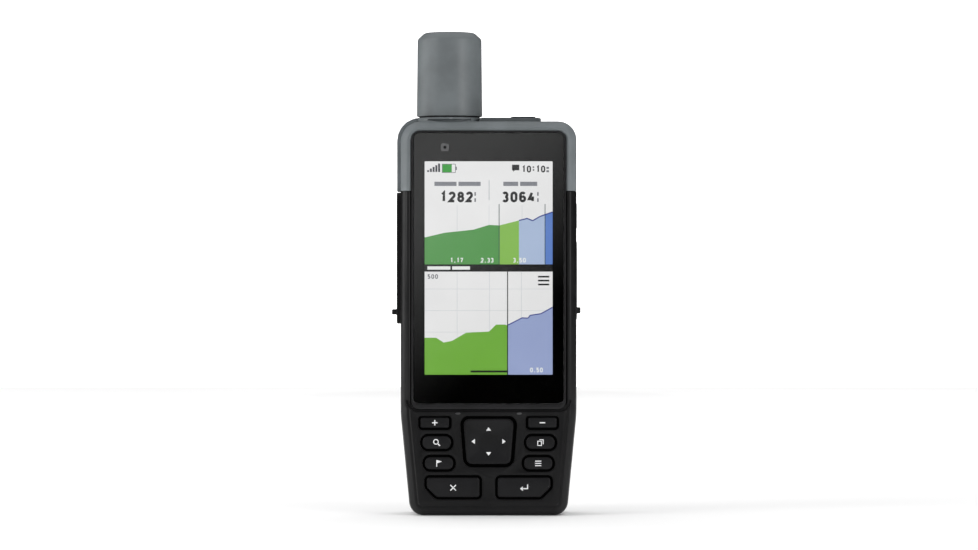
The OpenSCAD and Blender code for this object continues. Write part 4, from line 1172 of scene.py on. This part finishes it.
def pale(name, glow):
    """Matt white paper that glows a little by itself."""
    s = Surface(name)
    s.feed("Base Color", s.colours(s.noise(3, 2), srgb(232, 232, 232), srgb(236, 236, 236)))
    s.feed("Roughness", s.spread(s.noise(20, 3), 0.85, 0.95))
    s.set(Emission_Color=(1.0, 1.0, 1.0, 1.0), Emission_Strength=glow)
    return s.material


def reflector():
    """Dark card behind the camera that glows towards its upper left."""
    s = Surface("reflector_card")
    slope = s.node("VectorMath")
    slope.operation = "DOT_PRODUCT"
    slope.inputs[1].default_value = (-0.854, 0.0, 1.0)
    s.links.new(s.coordinates.outputs["Object"], slope.inputs[0])
    fade = s.node("MapRange", From_Min=0.03, From_Max=0.18, To_Max=0.68)
    fade.interpolation_type = "SMOOTHSTEP"
    s.links.new(slope.outputs["Value"], fade.inputs["Value"])
    s.feed("Emission Strength", fade.outputs["Result"])
    s.set(Base_Color=(0.0, 0.0, 0.0, 1.0), Emission_Color=(1.0, 1.0, 1.0, 1.0), Roughness=1.0)
    card = stage_plane("reflector_card", [(-0.45, -0.85, 0.0), (0.45, -0.85, 0.0), (0.45, -0.85, 0.5),
                                          (-0.45, -0.85, 0.5)], s.material)
    card.visible_camera = False


def softbox(name, place_at, aim, width, height, power):
    """Rectangular area light, turned towards aim."""
    light = bpy.data.lights.new(name, "AREA")
    light.shape = "RECTANGLE"
    light.size, light.size_y, light.energy = width, height, power
    obj = bpy.data.objects.new(name, light)
    bpy.context.scene.collection.objects.link(obj)
    obj.location = place_at
    obj.rotation_mode = "QUATERNION"
    obj.rotation_quaternion = (Vector(aim) - Vector(place_at)).to_track_quat("-Z", "Y")
    return obj


STAGE_HALF_W, STAGE_BACK = 6, 1.6
AIM = (0, 0, 0.08)
CAMERA_X, CAMERA_Z, CAMERA_DISTANCE = 0.14, 86, 1400

floor = stage_plane("floor", [(-STAGE_HALF_W, -0.45, 0), (STAGE_HALF_W, -0.45, 0),
                              (STAGE_HALF_W, STAGE_BACK, 0), (-STAGE_HALF_W, STAGE_BACK, 0)],
                    pale("floor_paper", 0.06))
backdrop = stage_plane("backdrop", [(-STAGE_HALF_W, STAGE_BACK, -0.1), (STAGE_HALF_W, STAGE_BACK, -0.1),
                                    (STAGE_HALF_W, STAGE_BACK, 4), (-STAGE_HALF_W, STAGE_BACK, 4)],
                       pale("backdrop_paper", 1.0))
backdrop.visible_glossy = False
backdrop.visible_diffuse = False
reflector()
softbox("key_softbox", (-0.9, -0.45, 0.6), AIM, 0.45, 0.7, 4.7)
softbox("fill_softbox", (0.8, -0.7, 0.3), AIM, 0.5, 0.8, 5.6)
softbox("left_strip", (-1.0, 0.12, 0.3), AIM, 0.3, 0.8, 2.6)
softbox("top_softbox", (0.0, 0.2, 2.2), (0, 0.2, 0.0), 4.0, 4.0, 42)
paper = bpy.data.collections.new("paper")
paper.objects.link(floor)
for paper_light in (softbox("paper_softbox", (0.0, 0.2, 2.2), (0, 0.2, 0.0), 4.0, 4.0, 102),
                    softbox("paper_back_softbox", (0.0, 1.3, 1.0), (0, 1.3, 0.0), 6.0, 1.6, 34)):
    paper_light.light_linking.receiver_collection = paper

world = bpy.data.worlds.new("studio")
bpy.context.scene.world = world
world.cycles_visibility.glossy = False
world.use_nodes = True
sky = next(n for n in world.node_tree.nodes if n.type == "BACKGROUND")
sky.inputs["Color"].default_value = (1.0, 1.0, 1.0, 1.0)
sky.inputs["Strength"].default_value = 0.1

camera = bpy.data.cameras.new("camera")
camera.lens, camera.sensor_width = 144.4, 36.0
camera.clip_start = 0.01
view = bpy.data.objects.new("camera", camera)
bpy.context.scene.collection.objects.link(view)
view.location = (CAMERA_X * MM, (FRONT_Y - CAMERA_DISTANCE) * MM, CAMERA_Z * MM)
view.rotation_euler = (math.pi / 2, 0, 0)
bpy.context.scene.camera = view
bpy.context.scene.view_settings.view_transform = "Standard"
